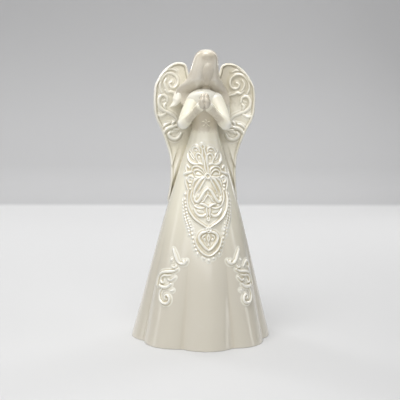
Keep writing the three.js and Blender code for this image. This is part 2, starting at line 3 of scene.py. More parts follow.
import bpy
import numpy as np
from mathutils import Matrix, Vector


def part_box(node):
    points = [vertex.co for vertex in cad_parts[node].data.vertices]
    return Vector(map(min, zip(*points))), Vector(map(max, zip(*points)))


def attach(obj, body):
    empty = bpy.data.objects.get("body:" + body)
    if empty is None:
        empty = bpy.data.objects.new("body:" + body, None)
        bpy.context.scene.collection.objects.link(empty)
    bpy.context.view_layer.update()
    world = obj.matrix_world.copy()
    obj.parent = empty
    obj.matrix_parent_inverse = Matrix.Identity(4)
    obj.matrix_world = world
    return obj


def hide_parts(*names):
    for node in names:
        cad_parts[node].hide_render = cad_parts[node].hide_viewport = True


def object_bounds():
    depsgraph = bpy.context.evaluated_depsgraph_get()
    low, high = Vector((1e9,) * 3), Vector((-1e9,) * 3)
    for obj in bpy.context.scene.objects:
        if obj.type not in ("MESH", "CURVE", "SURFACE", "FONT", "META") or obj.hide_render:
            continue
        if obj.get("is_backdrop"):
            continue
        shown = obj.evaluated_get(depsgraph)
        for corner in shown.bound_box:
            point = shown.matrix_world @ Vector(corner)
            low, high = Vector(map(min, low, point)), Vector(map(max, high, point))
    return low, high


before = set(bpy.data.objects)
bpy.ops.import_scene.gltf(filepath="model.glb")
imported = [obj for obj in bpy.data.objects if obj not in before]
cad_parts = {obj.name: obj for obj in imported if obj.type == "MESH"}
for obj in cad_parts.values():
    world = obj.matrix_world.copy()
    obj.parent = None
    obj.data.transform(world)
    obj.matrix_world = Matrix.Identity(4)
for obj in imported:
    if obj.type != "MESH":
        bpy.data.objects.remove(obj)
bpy.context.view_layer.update()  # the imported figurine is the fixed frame
mm = 0.001  # sizes below are in millimetres; meshes are written in metres
print("frame loaded,", len(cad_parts), "solids")


def boxOf(node):
    # lowest and highest corner of a solid, in millimetres
    low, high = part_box(node)
    return np.array(low) / mm, np.array(high) / mm


# Curves and shapes

def ease(low, high, value):
    # t = (value - low) / (high - low), held in 0..1, then 3 t^2 - 2 t^3
    t = np.clip((value - low) / (high - low), 0, 1)
    return t * t * (3 - 2 * t)


def mix(a, b, t):
    return a + (b - a) * t


def through(table, at, column):
    # cubic through one column of a table whose first column rises; the slope at a row is the harmonic
    # mean of the slopes beside it, so the curve never overshoots
    rows = np.array(table, float)
    x, y = rows[:, 0], rows[:, column]
    slope = np.diff(y) / np.diff(x)
    before, after = slope[:-1], slope[1:]
    agree = before * after > 0
    inner = np.where(agree, 2 * before * after / np.where(agree, before + after, 1), 0)
    tangent = np.concatenate([slope[:1], inner, slope[-1:]])
    at = np.clip(at, x[0], x[-1])
    i = np.clip(np.searchsorted(x, at, side="right") - 1, 0, len(x) - 2)
    run = x[i + 1] - x[i]
    t = (at - x[i]) / run
    bend = run * t * (1 - t) * ((1 - t) * tangent[i] - t * tangent[i + 1])
    return mix(y[i], y[i + 1], t * t * (3 - 2 * t)) + bend


def lengthsAlong(path, power=1):
    # sum of the steps up to each point of a path, each step's length taken to a power
    steps = np.linalg.norm(np.diff(path, axis=0), axis=1) ** power
    return np.concatenate([[0], np.cumsum(steps)])


def smoothPath(points, count, closed=False):
    # centripetal Catmull-Rom curve through given points, resampled to equal steps of length: neighbours
    # are mixed by how far t lies between their knots, three times over
    p = np.array(points, float)
    if closed:
        p = np.concatenate([p[-2:-1], p[:-1], p[:2]])
    else:
        p = np.concatenate([[2 * p[0] - p[1]], p, [2 * p[-1] - p[-2]]])
    knots = lengthsAlong(p, 0.5)
    fine = []
    for i in range(1, len(p) - 2):
        t = np.linspace(knots[i], knots[i + 1], 24, endpoint=False)[:, None]
        k = knots[i - 1:i + 3]
        a1, a2, a3 = (mix(p[i + n - 1], p[i + n], (t - k[n]) / (k[n + 1] - k[n])) for n in range(3))
        b1, b2 = mix(a1, a2, (t - k[0]) / (k[2] - k[0])), mix(a2, a3, (t - k[1]) / (k[3] - k[1]))
        fine.append(mix(b1, b2, (t - k[1]) / (k[2] - k[1])))
    fine = np.concatenate(fine + [p[-2:-1]])
    length = lengthsAlong(fine)
    at = np.linspace(0, length[-1], count)
    return np.stack([np.interp(at, length, column) for column in fine.T], -1)


def unit(vectors):
    return vectors / np.linalg.norm(vectors, axis=-1, keepdims=True)


def pointsAt(x, y, z):
    return np.stack(np.broadcast_arrays(x, y, z), -1)


def fullTurn(count):
    return np.linspace(0, 2 * np.pi, count, endpoint=False)


def turnZ(points, angle):
    # points turned about the upright axis by an angle in radians
    c, s = math.cos(angle), math.sin(angle)
    return points @ np.array([[c, s, 0], [-s, c, 0], [0, 0, 1]])


def turnX(points, angle):
    # points turned about the axis from right to left, forwards for a positive angle
    c, s = math.cos(angle), math.sin(angle)
    return points @ np.array([[1, 0, 0], [0, c, s], [0, -s, c]])


def ovalRings(halfWidths, halfDepths, heights, columns):
    # one oval per row: x = halfWidth sin(angle), y = -halfDepth cos(angle)
    angle = fullTurn(columns)
    x, y = np.outer(halfWidths, np.sin(angle)), -np.outer(halfDepths, np.cos(angle))
    return pointsAt(x, y, heights[:, None])


def tube(points, radiusAt, columns=72, rows=90, flat=1.0, capRows=14):
    # a round section carried along a path with a round cap at each end: at a share s of the path the ring
    # lies square to it with radius radiusAt(s); the caps are quarter circles of the end radii
    path = smoothPath(points, rows)
    along = unit(np.gradient(path, axis=0))
    radius = radiusAt(np.linspace(0, 1, rows))
    cap = np.linspace(0.02, np.pi / 2, capRows)
    reach, swell = np.cos(cap)[:, None], np.sin(cap)
    centres = np.concatenate([path[0] - along[0] * radius[0] * reach, path[1:-1],
                              path[-1] + along[-1] * radius[-1] * reach[::-1]])
    radii = np.concatenate([radius[0] * swell, radius[1:-1], radius[-1] * swell[::-1]])
    tangents = np.repeat(along, [capRows] + [1] * (rows - 2) + [capRows], 0)
    across = unit(np.array([1.0, 0, 0]) - tangents * tangents[:, :1])
    angle = fullTurn(columns)
    wide, high = np.outer(radii, np.cos(angle)), np.outer(radii, flat * np.sin(angle))
    return (centres[:, None] + wide[..., None] * across[:, None]
            + high[..., None] * np.cross(tangents, across)[:, None])


# Meshes

def gridFaces(rows, columns, wrapRows):
    # quads between neighbouring rings; the columns always close on themselves
    i = np.arange(rows if wrapRows else rows - 1)[:, None]
    j = np.arange(columns)[None, :]
    here, there = i * columns, ((i + 1) % rows) * columns
    following = (j + 1) % columns
    return np.stack([here + j, here + following, there + following, there + j], -1).reshape(-1, 4)


def closedSkin(rings, wrapRows=False):
    # vertices and faces of a closed skin through rings; end rings are closed by a fan to their middle
    rows, columns = rings.shape[:2]
    points = rings.reshape(-1, 3)
    quads = gridFaces(rows, columns, wrapRows)
    if wrapRows:
        return points, quads, np.zeros((0, 3), int)
    ends = np.stack([rings[0].mean(0), rings[-1].mean(0)])
    j = np.arange(columns)
    following = (j + 1) % columns
    first, last = len(points), len(points) + 1
    start = (rows - 1) * columns
    fans = np.concatenate([
        np.stack([np.full(columns, first), following, j], -1),
        np.stack([np.full(columns, last), start + j, start + following], -1),
    ])
    return np.concatenate([points, ends]), quads, fans


def volumeOf(points, quads, fans):
    tris = np.concatenate([quads[:, [0, 1, 2]], quads[:, [0, 2, 3]], fans])
    a, b, c = points[tris[:, 0]], points[tris[:, 1]], points[tris[:, 2]]
    return np.einsum("ij,ij->", a, np.cross(b, c)) / 6


def addToScene(name, data):
    thing = bpy.data.objects.new(name, data)
    bpy.context.scene.collection.objects.link(thing)
    return thing


def makePiece(name, *skins):
    # one mesh from one or more closed skins, or rings to close, each turned so that its volume is positive
    allPoints, allQuads, allFans, offset = [], [], [], 0
    for skin in skins:
        points, quads, fans = closedSkin(skin) if isinstance(skin, np.ndarray) else skin
        if volumeOf(points, quads, fans) < 0:
            quads, fans = quads[:, ::-1], fans[:, ::-1]
        allPoints.append(points)
        allQuads.append(quads + offset)
        allFans.append(fans + offset)
        offset += len(points)
    points = np.concatenate(allPoints)
    quads, fans = np.concatenate(allQuads), np.concatenate(allFans)
    mesh = bpy.data.meshes.new(name + "_glazed")
    mesh.vertices.add(len(points))
    mesh.vertices.foreach_set("co", (points * mm).astype(np.float32).ravel())
    mesh.loops.add(quads.size + fans.size)
    mesh.loops.foreach_set("vertex_index", np.concatenate([quads.ravel(), fans.ravel()]).astype(np.int32))
    starts = np.concatenate([np.arange(len(quads)) * 4, quads.size + np.arange(len(fans)) * 3])
    mesh.polygons.add(len(quads) + len(fans))
    mesh.polygons.foreach_set("loop_start", starts.astype(np.int32))
    mesh.update(calc_edges=True)
    mesh.shade_smooth()
    return addToScene(name + "_glazed", mesh)


def fuse(piece, voxel, smoothing):
    # the overlapping skins of a piece become one: a voxel remesh, then a soft glaze-like smoothing
    remesh = piece.modifiers.new("joinSkins", "REMESH")
    remesh.mode = "VOXEL"
    remesh.voxel_size = voxel * mm
    remesh.use_smooth_shade = True
    soften = piece.modifiers.new("soften", "SMOOTH")
    soften.iterations = smoothing
    soften.factor = 0.5
    graph = bpy.context.evaluated_depsgraph_get()
    fused = bpy.data.meshes.new_from_object(piece.evaluated_get(graph))
    piece.modifiers.clear()
    piece.data = fused
    fused.shade_smooth()


def setAttribute(piece, key, values):
    layer = piece.data.attributes.new(key, "FLOAT", "POINT")
    layer.data.foreach_set("value", values.astype(np.float32))


def readVertices(piece, key):
    # places or normals of a piece's vertices, one row each
    values = np.zeros(len(piece.data.vertices) * 3, np.float32)
    piece.data.vertices.foreach_get(key, values)
    return values.reshape(-1, 3).astype(float)


def alongRings(values, columns):
    # one value per ring for all the vertices of a closed skin, whose last two are the middles of its ends
    return np.concatenate([np.repeat(values, columns), values[[0, -1]]])


def hollowsOf(piece, reach, gain):
    # how far each vertex lies under the mean of its neighbours, along its normal, blurred over a reach in
    # millimetres; positive in creases, where glaze pools, and negative on ridges
    co, normal = readVertices(piece, "co") / mm, readVertices(piece, "normal")
    edges = np.zeros(len(piece.data.edges) * 2, np.int32)
    piece.data.edges.foreach_get("vertices", edges)
    a, b, count = edges[::2], edges[1::2], len(co)
    links = np.maximum(np.bincount(a, minlength=count) + np.bincount(b, minlength=count), 1)
    pitch = np.median(np.linalg.norm(co[a] - co[b], axis=1))
    soft = co.T
    for _ in range(int(np.clip((reach / pitch) ** 2, 2, 60))):
        soft = [(np.bincount(a, row[b], count) + np.bincount(b, row[a], count)) / links for row in soft]
    depth = np.einsum("ij,ij->i", np.stack(soft, -1) - co, normal)
    return np.clip(depth * gain, -1, 1)


def patchSkin(top, bottom, keep):
    # top and bottom grids over the kept cells, with walls round their border; cells that would touch
    # only at a corner are joined first
    keep = keep.copy()
    for _ in range(6):
        a, b, c, d = keep[:-1, :-1], keep[:-1, 1:], keep[1:, :-1], keep[1:, 1:]
        rising, falling = a & d & ~b & ~c, b & c & ~a & ~d
        if not (rising.any() or falling.any()):
            break
        keep[:-1, 1:] |= rising
        keep[:-1, :-1] |= falling
    rows, columns = top.shape[:2]
    index = np.arange(rows * columns).reshape(rows, columns)
    v00, v01, v11, v10 = index[:-1, :-1], index[:-1, 1:], index[1:, 1:], index[1:, :-1]
    upper = np.stack([v00[keep], v01[keep], v11[keep], v10[keep]], -1)
    lower = upper[:, ::-1] + rows * columns
    padded = np.pad(keep, 1)
    walls = []
    sides = (((-1, 0), v00, v01), ((0, 1), v01, v11), ((1, 0), v11, v10), ((0, -1), v10, v00))
    for (down, right), a, b in sides:
        border = keep & ~padded[1 + down:rows + down, 1 + right:columns + right]
        start, end = a[border], b[border]
        walls.append(np.stack([end, start, start + rows * columns, end + rows * columns], -1))
    quads = np.concatenate([upper, lower] + walls)
    points = np.concatenate([top.reshape(-1, 3), bottom.reshape(-1, 3)])
    used, packed = np.unique(quads, return_inverse=True)
    return points[used], packed.reshape(-1, 4), np.zeros((0, 3), int)


# Glazes: colours, noise scales per metre, tones added to the depth of the glaze, and heights in metres

glaze = {
    "ivory": (0.86, 0.82, 0.68), "pooledAndShaded": (0.70, 0.625, 0.45), "thin": (0.90, 0.88, 0.80),
    # the hair tones are darker than the ivory as painted shade on the hair, face and hands; the wings' pooled
    # tone is also painted shade in their cups
    "hair": (0.68, 0.625, 0.525), "hairPooledAndShaded": (0.54, 0.475, 0.365), "wingPooledAndShaded": (0.5, 0.455, 0.345),
    "hem": (0.70, 0.655, 0.56), "speck": (0.42, 0.34, 0.22),
    "clay": (0.80, 0.775, 0.70), "clayShade": (0.62, 0.58, 0.5), "grit": (0.45, 0.4, 0.33),
    "gloss": 0.13, "reliefGloss": 0.11, "coat": 0.6, "coatGloss": 0.05, "refraction": 1.52,
    "cloudScale": 38.0, "cloudTone": 0.1, "mottleScale": 520.0, "mottleTone": 0.05,
    "speckScale": 160.0, "speckStrength": 0.35,
    "waveScale": 70.0, "waveShare": 0.8, "peelScale": 650.0, "peelShare": 0.07, "rippleHeight": 0.00011,
    "hemFrom": 0.135, "hemTo": 0.05, "hemShadeStrength": 0.85, "wipeScale": 240.0, "wipeWaver": 0.3,
    "bareRough": 0.6, "grainScale": 3200.0, "gritScale": 900.0, "grainHeight": 0.00012,
}


def newGroup(name, inputs, outputs):
    # inputs and outputs give each socket's kind by its name
    group = bpy.data.node_groups.new(name, "ShaderNodeTree")
    for way, sockets in (("INPUT", inputs), ("OUTPUT", outputs)):
        for label, kind in sockets.items():
            group.interface.new_socket(label, in_out=way, socket_type="NodeSocket" + kind)
    return group, group.nodes.new("NodeGroupInput").outputs, group.nodes.new("NodeGroupOutput")


def feed(tree, node, inputs):
    # each input gets another node's output, a colour of three numbers or a value
    for key, value in inputs.items():
        if isinstance(value, bpy.types.NodeSocket):
            tree.links.new(value, node.inputs[key])
        else:
            node.inputs[key].default_value = (*value, 1.0) if isinstance(value, tuple) else value


def addNode(tree, kind, inputs, **settings):
    node = tree.nodes.new("ShaderNode" + kind)
    for key, value in settings.items():
        setattr(node, key, value)
    feed(tree, node, inputs)
    return node.outputs


def noiseAt(tree, place, scale, detail, roughness=0.5):
    return addNode(tree, "TexNoise", {"Vector": place, "Scale": scale, "Detail": detail,
                                      "Roughness": roughness})["Fac"]


def rangeOf(tree, value, low, high, toLow=0.0, toHigh=1.0):
    return addNode(tree, "MapRange", {"Value": value, "From Min": low, "From Max": high, "To Min": toLow,
                                      "To Max": toHigh}, interpolation_type="SMOOTHSTEP")["Result"]


def driftOf(tree, place, scale, detail, most):
    # noise stretched to run from -most to most
    return rangeOf(tree, noiseAt(tree, place, scale, detail), 0.3, 0.7, -most, most)


def mathOf(tree, operation, a, b):
    return addNode(tree, "Math", {0: a, 1: b}, operation=operation)[0]


def mixColours(tree, factor, a, b):
    return addNode(tree, "Mix", {"Factor": factor, 6: a, 7: b}, data_type="RGBA")[2]


def bumpOf(tree, height, distance, **below):
    return addNode(tree, "Bump", {"Strength": 1.0, "Distance": distance, "Height": height, **below})["Normal"]


def attributeOf(tree, name):
    return addNode(tree, "Attribute", {}, attribute_name=name)["Fac"]


def makeToneGroup():
    # glaze colour: ivory, deeper where it pools in hollows, paler where it thins on ridges, with broad soft
    # clouds, a fine mottle and a few pinhole specks; the depth input also carries painted shade, which
    # deepens the tone, and painted light, which pales it
    group, given, made = newGroup("glazeTone", {
        "Place": "Vector", "PoolingAndShading": "Float", "Ivory": "Color", "PooledAndShaded": "Color", "ThinAndLit": "Color",
        "Gloss": "Float"}, {"Color": "Color", "Roughness": "Float"})
    place = given["Place"]
    clouds = driftOf(group, place, glaze["cloudScale"], 2.0, glaze["cloudTone"])
    mottle = driftOf(group, place, glaze["mottleScale"], 4.0, glaze["mottleTone"])
    depth = mathOf(group, "ADD", mathOf(group, "ADD", given["PoolingAndShading"], clouds), mottle)
    pooledAndShaded = rangeOf(group, depth, 0.03, 0.5, 0.0, 0.9)
    thinned = rangeOf(group, mathOf(group, "MULTIPLY", depth, -1.0), 0.03, 0.45, 0.0, 0.85)
    colour = mixColours(group, pooledAndShaded, given["Ivory"], given["PooledAndShaded"])
    colour = mixColours(group, thinned, colour, given["ThinAndLit"])
    specks = addNode(group, "TexVoronoi", {"Vector": place, "Scale": glaze["speckScale"], "Randomness": 1.0})
    speck = rangeOf(group, specks["Distance"], 0.025, 0.045, 1.0, 0.0)
    rare = rangeOf(group, noiseAt(group, place, 55.0, 1.0), 0.62, 0.66)
    speck = mathOf(group, "MULTIPLY", mathOf(group, "MULTIPLY", speck, rare), glaze["speckStrength"])
    rough = mathOf(group, "ADD", given["Gloss"], rangeOf(group, depth, -0.4, 0.4, 0.05, -0.04))
    feed(group, made, {"Color": mixColours(group, speck, colour, glaze["speck"]), "Roughness": rough})
    return group


def makeRippleGroup():
    # glaze surface: slow waves where it flowed in the kiln, and a fine orange-peel dimple
    group, given, made = newGroup("glazeRipple", {"Place": "Vector"}, {"Height": "Float"})
    waves = noiseAt(group, given["Place"], glaze["waveScale"], 2.0)
    peel = noiseAt(group, given["Place"], glaze["peelScale"], 2.0)
    height = mathOf(group, "ADD", mathOf(group, "MULTIPLY", waves, glaze["waveShare"]),
                    mathOf(group, "MULTIPLY", peel, glaze["peelShare"]))
    feed(group, made, {"Height": height})
    return group


def makeClayGroup():
    # bare fired clay at the wiped foot: a chalky grain with darker grit
    group, given, made = newGroup("bareClay", {"Place": "Vector", "Clay": "Color"},
                                  {"Color": "Color", "Height": "Float"})
    grain = noiseAt(group, given["Place"], glaze["grainScale"], 5.0, 0.7)
    grit = rangeOf(group, noiseAt(group, given["Place"], glaze["gritScale"], 2.0), 0.6, 0.72, 0.0, 0.35)
    colour = mixColours(group, rangeOf(group, grain, 0.3, 0.7, 0.0, 0.25), given["Clay"], glaze["clayShade"])
    feed(group, made, {"Color": mixColours(group, grit, colour, glaze["grit"]), "Height": grain})
    return group


toneGroup, rippleGroup, clayGroup = makeToneGroup(), makeRippleGroup(), makeClayGroup()


def makeGlaze(name, ivory, pooledAndShaded, thin, gloss=glaze["gloss"], hasFoot=False):
    material = bpy.data.materials.new(name + "Glaze")
    material.use_nodes = True
    tree = material.node_tree
    place = addNode(tree, "TexCoord", {})["Object"]
    tone = addNode(tree, "Group", {"Place": place, "PoolingAndShading": attributeOf(tree, "poolingAndShading"), "Ivory": ivory,
                                   "PooledAndShaded": pooledAndShaded, "ThinAndLit": thin, "Gloss": gloss}, node_tree=toneGroup)
    ripple = addNode(tree, "Group", {"Place": place}, node_tree=rippleGroup)["Height"]
    colour, rough, coat = tone["Color"], tone["Roughness"], glaze["coat"]
    normal = bumpOf(tree, ripple, glaze["rippleHeight"])
    if hasFoot:
        # painted shade: the tone deepens towards the hem
        height = addNode(tree, "SeparateXYZ", {"Vector": place})["Z"]
        run = rangeOf(tree, height, glaze["hemFrom"], glaze["hemTo"], 0.0, glaze["hemShadeStrength"])
        colour = mixColours(tree, run, colour, glaze["hem"])
        # the foot ring and the inside carry little or no glaze; the line where it was wiped wavers
        waver = driftOf(tree, place, glaze["wipeScale"], 3.0, glaze["wipeWaver"])
        bare = rangeOf(tree, mathOf(tree, "ADD", attributeOf(tree, "bare"), waver), 0.42, 0.58)
        clay = addNode(tree, "Group", {"Place": place, "Clay": glaze["clay"]}, node_tree=clayGroup)
        colour = mixColours(tree, bare, colour, clay["Color"])
        rough = mathOf(tree, "ADD", rough, mathOf(tree, "MULTIPLY", bare, glaze["bareRough"]))
        grain = mathOf(tree, "MULTIPLY", clay["Height"], bare)
        normal = bumpOf(tree, grain, glaze["grainHeight"], Normal=normal)
        coat = mathOf(tree, "MULTIPLY", mathOf(tree, "SUBTRACT", 1.0, bare), coat)
    feed(tree, tree.nodes["Principled BSDF"], {
        "Base Color": colour, "Roughness": rough, "Normal": normal, "Coat Weight": coat,
        "Coat Roughness": glaze["coatGloss"], "IOR": glaze["refraction"]})
    return material


# each glaze's ivory tone, pooled tone (also painted shade) and thin tone (also painted light), then its
# gloss where it differs and whether it has a bare foot
glazes = {name: makeGlaze(name, *tones) for name, tones in {
    "ivory": (glaze["ivory"], glaze["pooledAndShaded"], glaze["thin"]),
    "footed": (glaze["ivory"], glaze["pooledAndShaded"], glaze["thin"], glaze["gloss"], True),
    "relief": ((0.87, 0.84, 0.735), (0.60, 0.52, 0.345), (0.91, 0.89, 0.82), glaze["reliefGloss"]),
    # the hair glaze is painted shade on the hair, head and hands; the lock's pale thin tone is painted light
    # on its tip; the bodice's dark pooled tone is painted shade on the bodice and forearms
    "hair": (glaze["hair"], glaze["hairPooledAndShaded"], (0.76, 0.72, 0.63)),
    "lock": (glaze["hair"], glaze["hairPooledAndShaded"], (0.89, 0.86, 0.76)),
    "bodice": (glaze["ivory"], (0.56, 0.5, 0.39), glaze["thin"]),
    "wing": ((0.79, 0.75, 0.625), glaze["wingPooledAndShaded"], (0.87, 0.84, 0.76)),
    "wingRelief": ((0.82, 0.785, 0.675), glaze["wingPooledAndShaded"], (0.88, 0.86, 0.78), glaze["reliefGloss"]),
}.items()}
print("glazes made")


def finishPiece(piece, glazeName, node, reach=1.4, gain=1.0, shift=0.0, keep=1.0):
    # the glaze-depth attribute is the piece's hollows times keep, plus shift: painted shade where the shift
    # is positive and painted light where it is negative
    piece.data.materials.append(glazes[glazeName])
    setAttribute(piece, "poolingAndShading", hollowsOf(piece, reach, gain) * keep + shift)
    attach(piece, "root")
    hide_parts(node)


# Gown: a hollow fluted cone on an oval foot

gownHigh = boxOf("gown_shell")[1]
gown = {
    "height": gownHigh[2], "halfWidths": (gownHigh[0], 14), "halfDepths": (gownHigh[1], 10.8),  # hem, waist
    "bulge": 3, "hemFlare": 3.5, "hemFlarePower": 5,
    "folds": 8, "foldDepth": 5, "foldTopShare": 0.62, "foldFadePower": 1.3, "foldRoundPower": 0.7,
    "foldSoft": 0.12, "wall": 3.2, "footRound": 0.9, "insideBare": 0.42, "seamFade": 9,
    "columns": 352, "outsideRows": 190, "insideRows": 56,
}
crispAngle = math.radians(65)  # edges sharper than this aren't smoothed


def gownSize(height):
    # half width and half depth: straight from hem to waist, plus a parabola's bulge and a flare of
    # (1 - up)^power
    up = np.clip(height / gown["height"], 0, 1)
    swell = 4 * gown["bulge"] * up * (1 - up) + gown["hemFlare"] * (1 - up) ** gown["hemFlarePower"]
    return [mix(hem - gown["hemFlare"], waist, up) + swell
            for hem, waist in (gown["halfWidths"], gown["halfDepths"])]


def gownPoint(angle, height, grow):
    # an oval whose sides draw in between the folds; a fold is |cos|^power of half its count times the angle,
    # softened at the crease, and the folds fade upwards
    halfWidth, halfDepth = gownSize(height)
    fade = np.maximum(0, 1 - height / (gown["height"] * gown["foldTopShare"])) ** gown["foldFadePower"]
    half, soft = gown["foldRoundPower"] / 2, gown["foldSoft"] ** 2
    wave = np.cos(angle * gown["folds"] / 2) ** 2
    lobe = ((wave + soft) ** half - soft ** half) / ((1 + soft) ** half - soft ** half)
    inset = gown["foldDepth"] * fade * (1 - lobe) - grow
    return pointsAt((halfWidth - inset) * np.sin(angle), -(halfDepth - inset) * np.cos(angle), height)


def makeGown():
    # rows run up the outside, over the waist and down the inside; both edges of the foot are quarter rounds
    turn = np.linspace(0, np.pi / 2, 8)
    footHeights, footInsets = gown["footRound"] * (1 - np.cos(turn)), gown["footRound"] * (1 - np.sin(turn))
    outside, inside = (np.linspace(gown["footRound"], gown["height"], gown[rows])[1:]
                       for rows in ("outsideRows", "insideRows"))
    heights = np.concatenate([footHeights, outside, inside[::-1], footHeights[::-1]])
    grows = np.concatenate([-footInsets, 0 * outside, 0 * inside - gown["wall"],
                            footInsets[::-1] - gown["wall"]])
    rings = gownPoint(fullTurn(gown["columns"]), heights[:, None], grows[:, None])
    footBare = ease(0.75, 0.1, footHeights)
    bare = np.concatenate([footBare, 0 * outside, 0 * inside + gown["insideBare"],
                           np.maximum(gown["insideBare"], footBare[::-1])])
    piece = makePiece("gown", closedSkin(rings, wrapRows=True))
    setAttribute(piece, "bare", np.repeat(bare, gown["columns"]))
    piece.data.set_sharp_from_angle(angle=crispAngle)
    belowSeam = np.repeat(ease(gown["height"], gown["height"] - gown["seamFade"], heights), gown["columns"])
    finishPiece(piece, "footed", "gown_shell", reach=3.0, gain=2.0, keep=belowSeam)


makeGown()
print("gown made")


# Bust: the hollow upper body and neck, with a small raised flower on the bodice

bustTop = boxOf("bust")[1][2]
bust = {
    "height": bustTop - gown["height"], "chestHalfWidth": 13.6, "chestHalfDepth": 10.2,
    "turn": math.radians(-8), "hollowShare": 0.7, "hollowDome": 8, "neckRadius": 4.6, "overlap": 0.5,
    "flowerHeight": 187.5, "bodiceShade": 0.55, "yokeLight": -0.35,
    "columns": 288, "outsideRows": 190, "insideRows": 50,
}
# share of the bust's height, half width and half depth as shares of the chest's, then the oval's middle; the
# last rows are the yoke, a dome over the shoulders
bustProfile = [
    (0, 1.03, 1.06, 0, 0), (0.1, 0.93, 0.95, 0, 0), (0.2, 0.86, 0.88, 0, 0), (0.34, 0.8, 0.84, 0, 0),
    (0.5, 0.86, 0.9, 0, -0.2),
    (0.66, 1.02, 0.98, -0.4, -0.6), (0.767, 1.14, 0.82, -0.9, -1.9), (0.842, 1.11, 0.74, -1.1, -3.1),
    (0.9, 1.0, 0.7, -1.4, -3.8), (0.944, 0.85, 0.64, -1.7, -4.2), (0.985, 0.66, 0.52, -1.9, -4.4),
    (1.02, 0.4, 0.34, -2, -4.5), (1.037, 0.1, 0.1, -2, -4.5),
]
# width, rise, then points across and up, from the flower's middle
flowerStrokes = [
    (1.3, 0.55, (0, 0.9), (0.2, 2), (-0.5, 3.2)), (1.2, 0.5, (0.9, 0.4), (2.2, 1.2), (3.6, 0.9)),
    (1.2, 0.5, (-0.9, 0.4), (-2.2, 1.3), (-3.6, 0.8)), (1.1, 0.5, (0.7, -0.7), (1.8, -1.8), (3.2, -2.6)),
    (1.1, 0.5, (-0.7, -0.7), (-1.6, -2), (-3, -2.9)), (1, 0.45, (0, -1), (0.1, -2.2), (0, -3.6)),
    (0.9, 0.6, (0.6, 0), (0, 0.6), (-0.6, 0), (0, -0.6), (0.6, 0)),
]


def strokeDistance(path, x, y):
    # distance from each point to a polyline, and the share of its length where the nearest point lies
    a, b = path[:-1], path[1:]
    ab = b - a
    lengths = np.einsum("ij,ij->i", ab, ab)
    px, py = x[:, None] - a[None, :, 0], y[:, None] - a[None, :, 1]
    t = np.clip((px * ab[:, 0] + py * ab[:, 1]) / lengths, 0, 1)
    gap = np.hypot(px - t * ab[:, 0], py - t * ab[:, 1])
    k = gap.argmin(1)
    pick = np.arange(len(x))
    return gap[pick, k], (k + t[pick, k]) / len(a)


stroke = {"halfShare": 0.7, "power": 1.4, "endShare": 0.4, "step": 0.25, "leastPoints": 8, "mostPoints": 110,
          "margin": 3}


def reliefField(strokes, x, y):
    # height and nearness of relief on a flat map. A stroke is a ridge of section (1 - r^2)^power, with r the
    # distance over the half width, and swells in its middle; ridges join by a fourth-power mean, and a
    # negative rise is a hollow. Nearness is the distance to the nearest ridge's edge
    raised, sunk, near = np.zeros_like(x), np.zeros_like(x), np.full_like(x, 99.0)
    for width, rise, *points in strokes:
        closed = len(points) > 2 and points[0] == points[-1]
        span = np.ptp(np.array(points), axis=0).sum()
        count = int(np.clip(span / stroke["step"], stroke["leastPoints"], stroke["mostPoints"]))
        path = smoothPath(points, count, closed)
        half = width * stroke["halfShare"]
        reach = half + stroke["margin"]
        window = ((x > path[:, 0].min() - reach) & (x < path[:, 0].max() + reach)
                  & (y > path[:, 1].min() - reach) & (y < path[:, 1].max() + reach))
        if not window.any():
            continue
        gap, share = strokeDistance(path, x[window], y[window])
        swell = 1.0 if closed else mix(stroke["endShare"], 1, np.sin(np.pi * (0.1 + 0.8 * share)) ** 0.6)
        half = half * swell
        ridge = abs(rise) * swell * np.maximum(0, 1 - (gap / half) ** 2) ** stroke["power"]
        if rise > 0:
            raised[window] = (raised[window] ** 4 + ridge ** 4) ** 0.25
            near[window] = np.minimum(near[window], gap - half)
        else:
            sunk[window] = np.maximum(sunk[window], ridge)
    return raised - sunk, near


def bustSize(height):
    share = np.clip((height - gown["height"]) / bust["height"], 0, bustProfile[-1][0])
    return (bust["chestHalfWidth"] * through(bustProfile, share, 1),
            bust["chestHalfDepth"] * through(bustProfile, share, 2))


def makeBust():
    # rows run down the hollow from its dome to the waist, then up the outside to the closed neck
    bottom = gown["height"] - bust["overlap"]
    top = gown["height"] + bust["height"] * bustProfile[-1][0]
    even = np.linspace(0, 1, bust["outsideRows"])
    outside = mix(bottom, top, even * (2 - even) ** 0.5)
    share = (outside - gown["height"]) / bust["height"]
    middleX, middleY = (through(bustProfile, share, column)[:, None] for column in (3, 4))
    angle = fullTurn(bust["columns"])
    halfWidth, halfDepth = (size[:, None] for size in bustSize(outside))
    flowerX = (np.mod(angle + np.pi, 2 * np.pi) - np.pi) * halfWidth
    flowerY = 0 * flowerX + outside[:, None] - bust["flowerHeight"]
    grow = reliefField(flowerStrokes, flowerX.ravel(), flowerY.ravel())[0].reshape(flowerX.shape)
    outer = pointsAt(middleX + (halfWidth + grow) * np.sin(angle),
                     middleY - (halfDepth + grow) * np.cos(angle), outside[:, None])
    hollowTop = gown["height"] + bust["height"] * bust["hollowShare"]
    inside = np.linspace(hollowTop, bottom, bust["insideRows"])
    dome = np.sqrt(np.clip((hollowTop - inside) / bust["hollowDome"], 0, 1))
    inner = ovalRings(*((size - gown["wall"]) * dome for size in bustSize(inside)), inside, bust["columns"])
    piece = makePiece("bust", np.concatenate([inner, outer]))
    # painted shade on the bodice under the arms, and painted light over the yoke
    share = (readVertices(piece, "co")[:, 2] / mm - gown["height"]) / bust["height"]
    shift = bust["bodiceShade"] * ease(0.07, 0.3, share) * ease(0.72, 0.58, share)
    shift = shift + bust["yokeLight"] * ease(0.7, 0.8, share)
    finishPiece(piece, "bodice", "bust", reach=1.2, gain=1.5, shift=shift, keep=ease(0, 0.07, share))


# Head: an egg, narrower at the chin, bowed forward, with no features, on a short neck

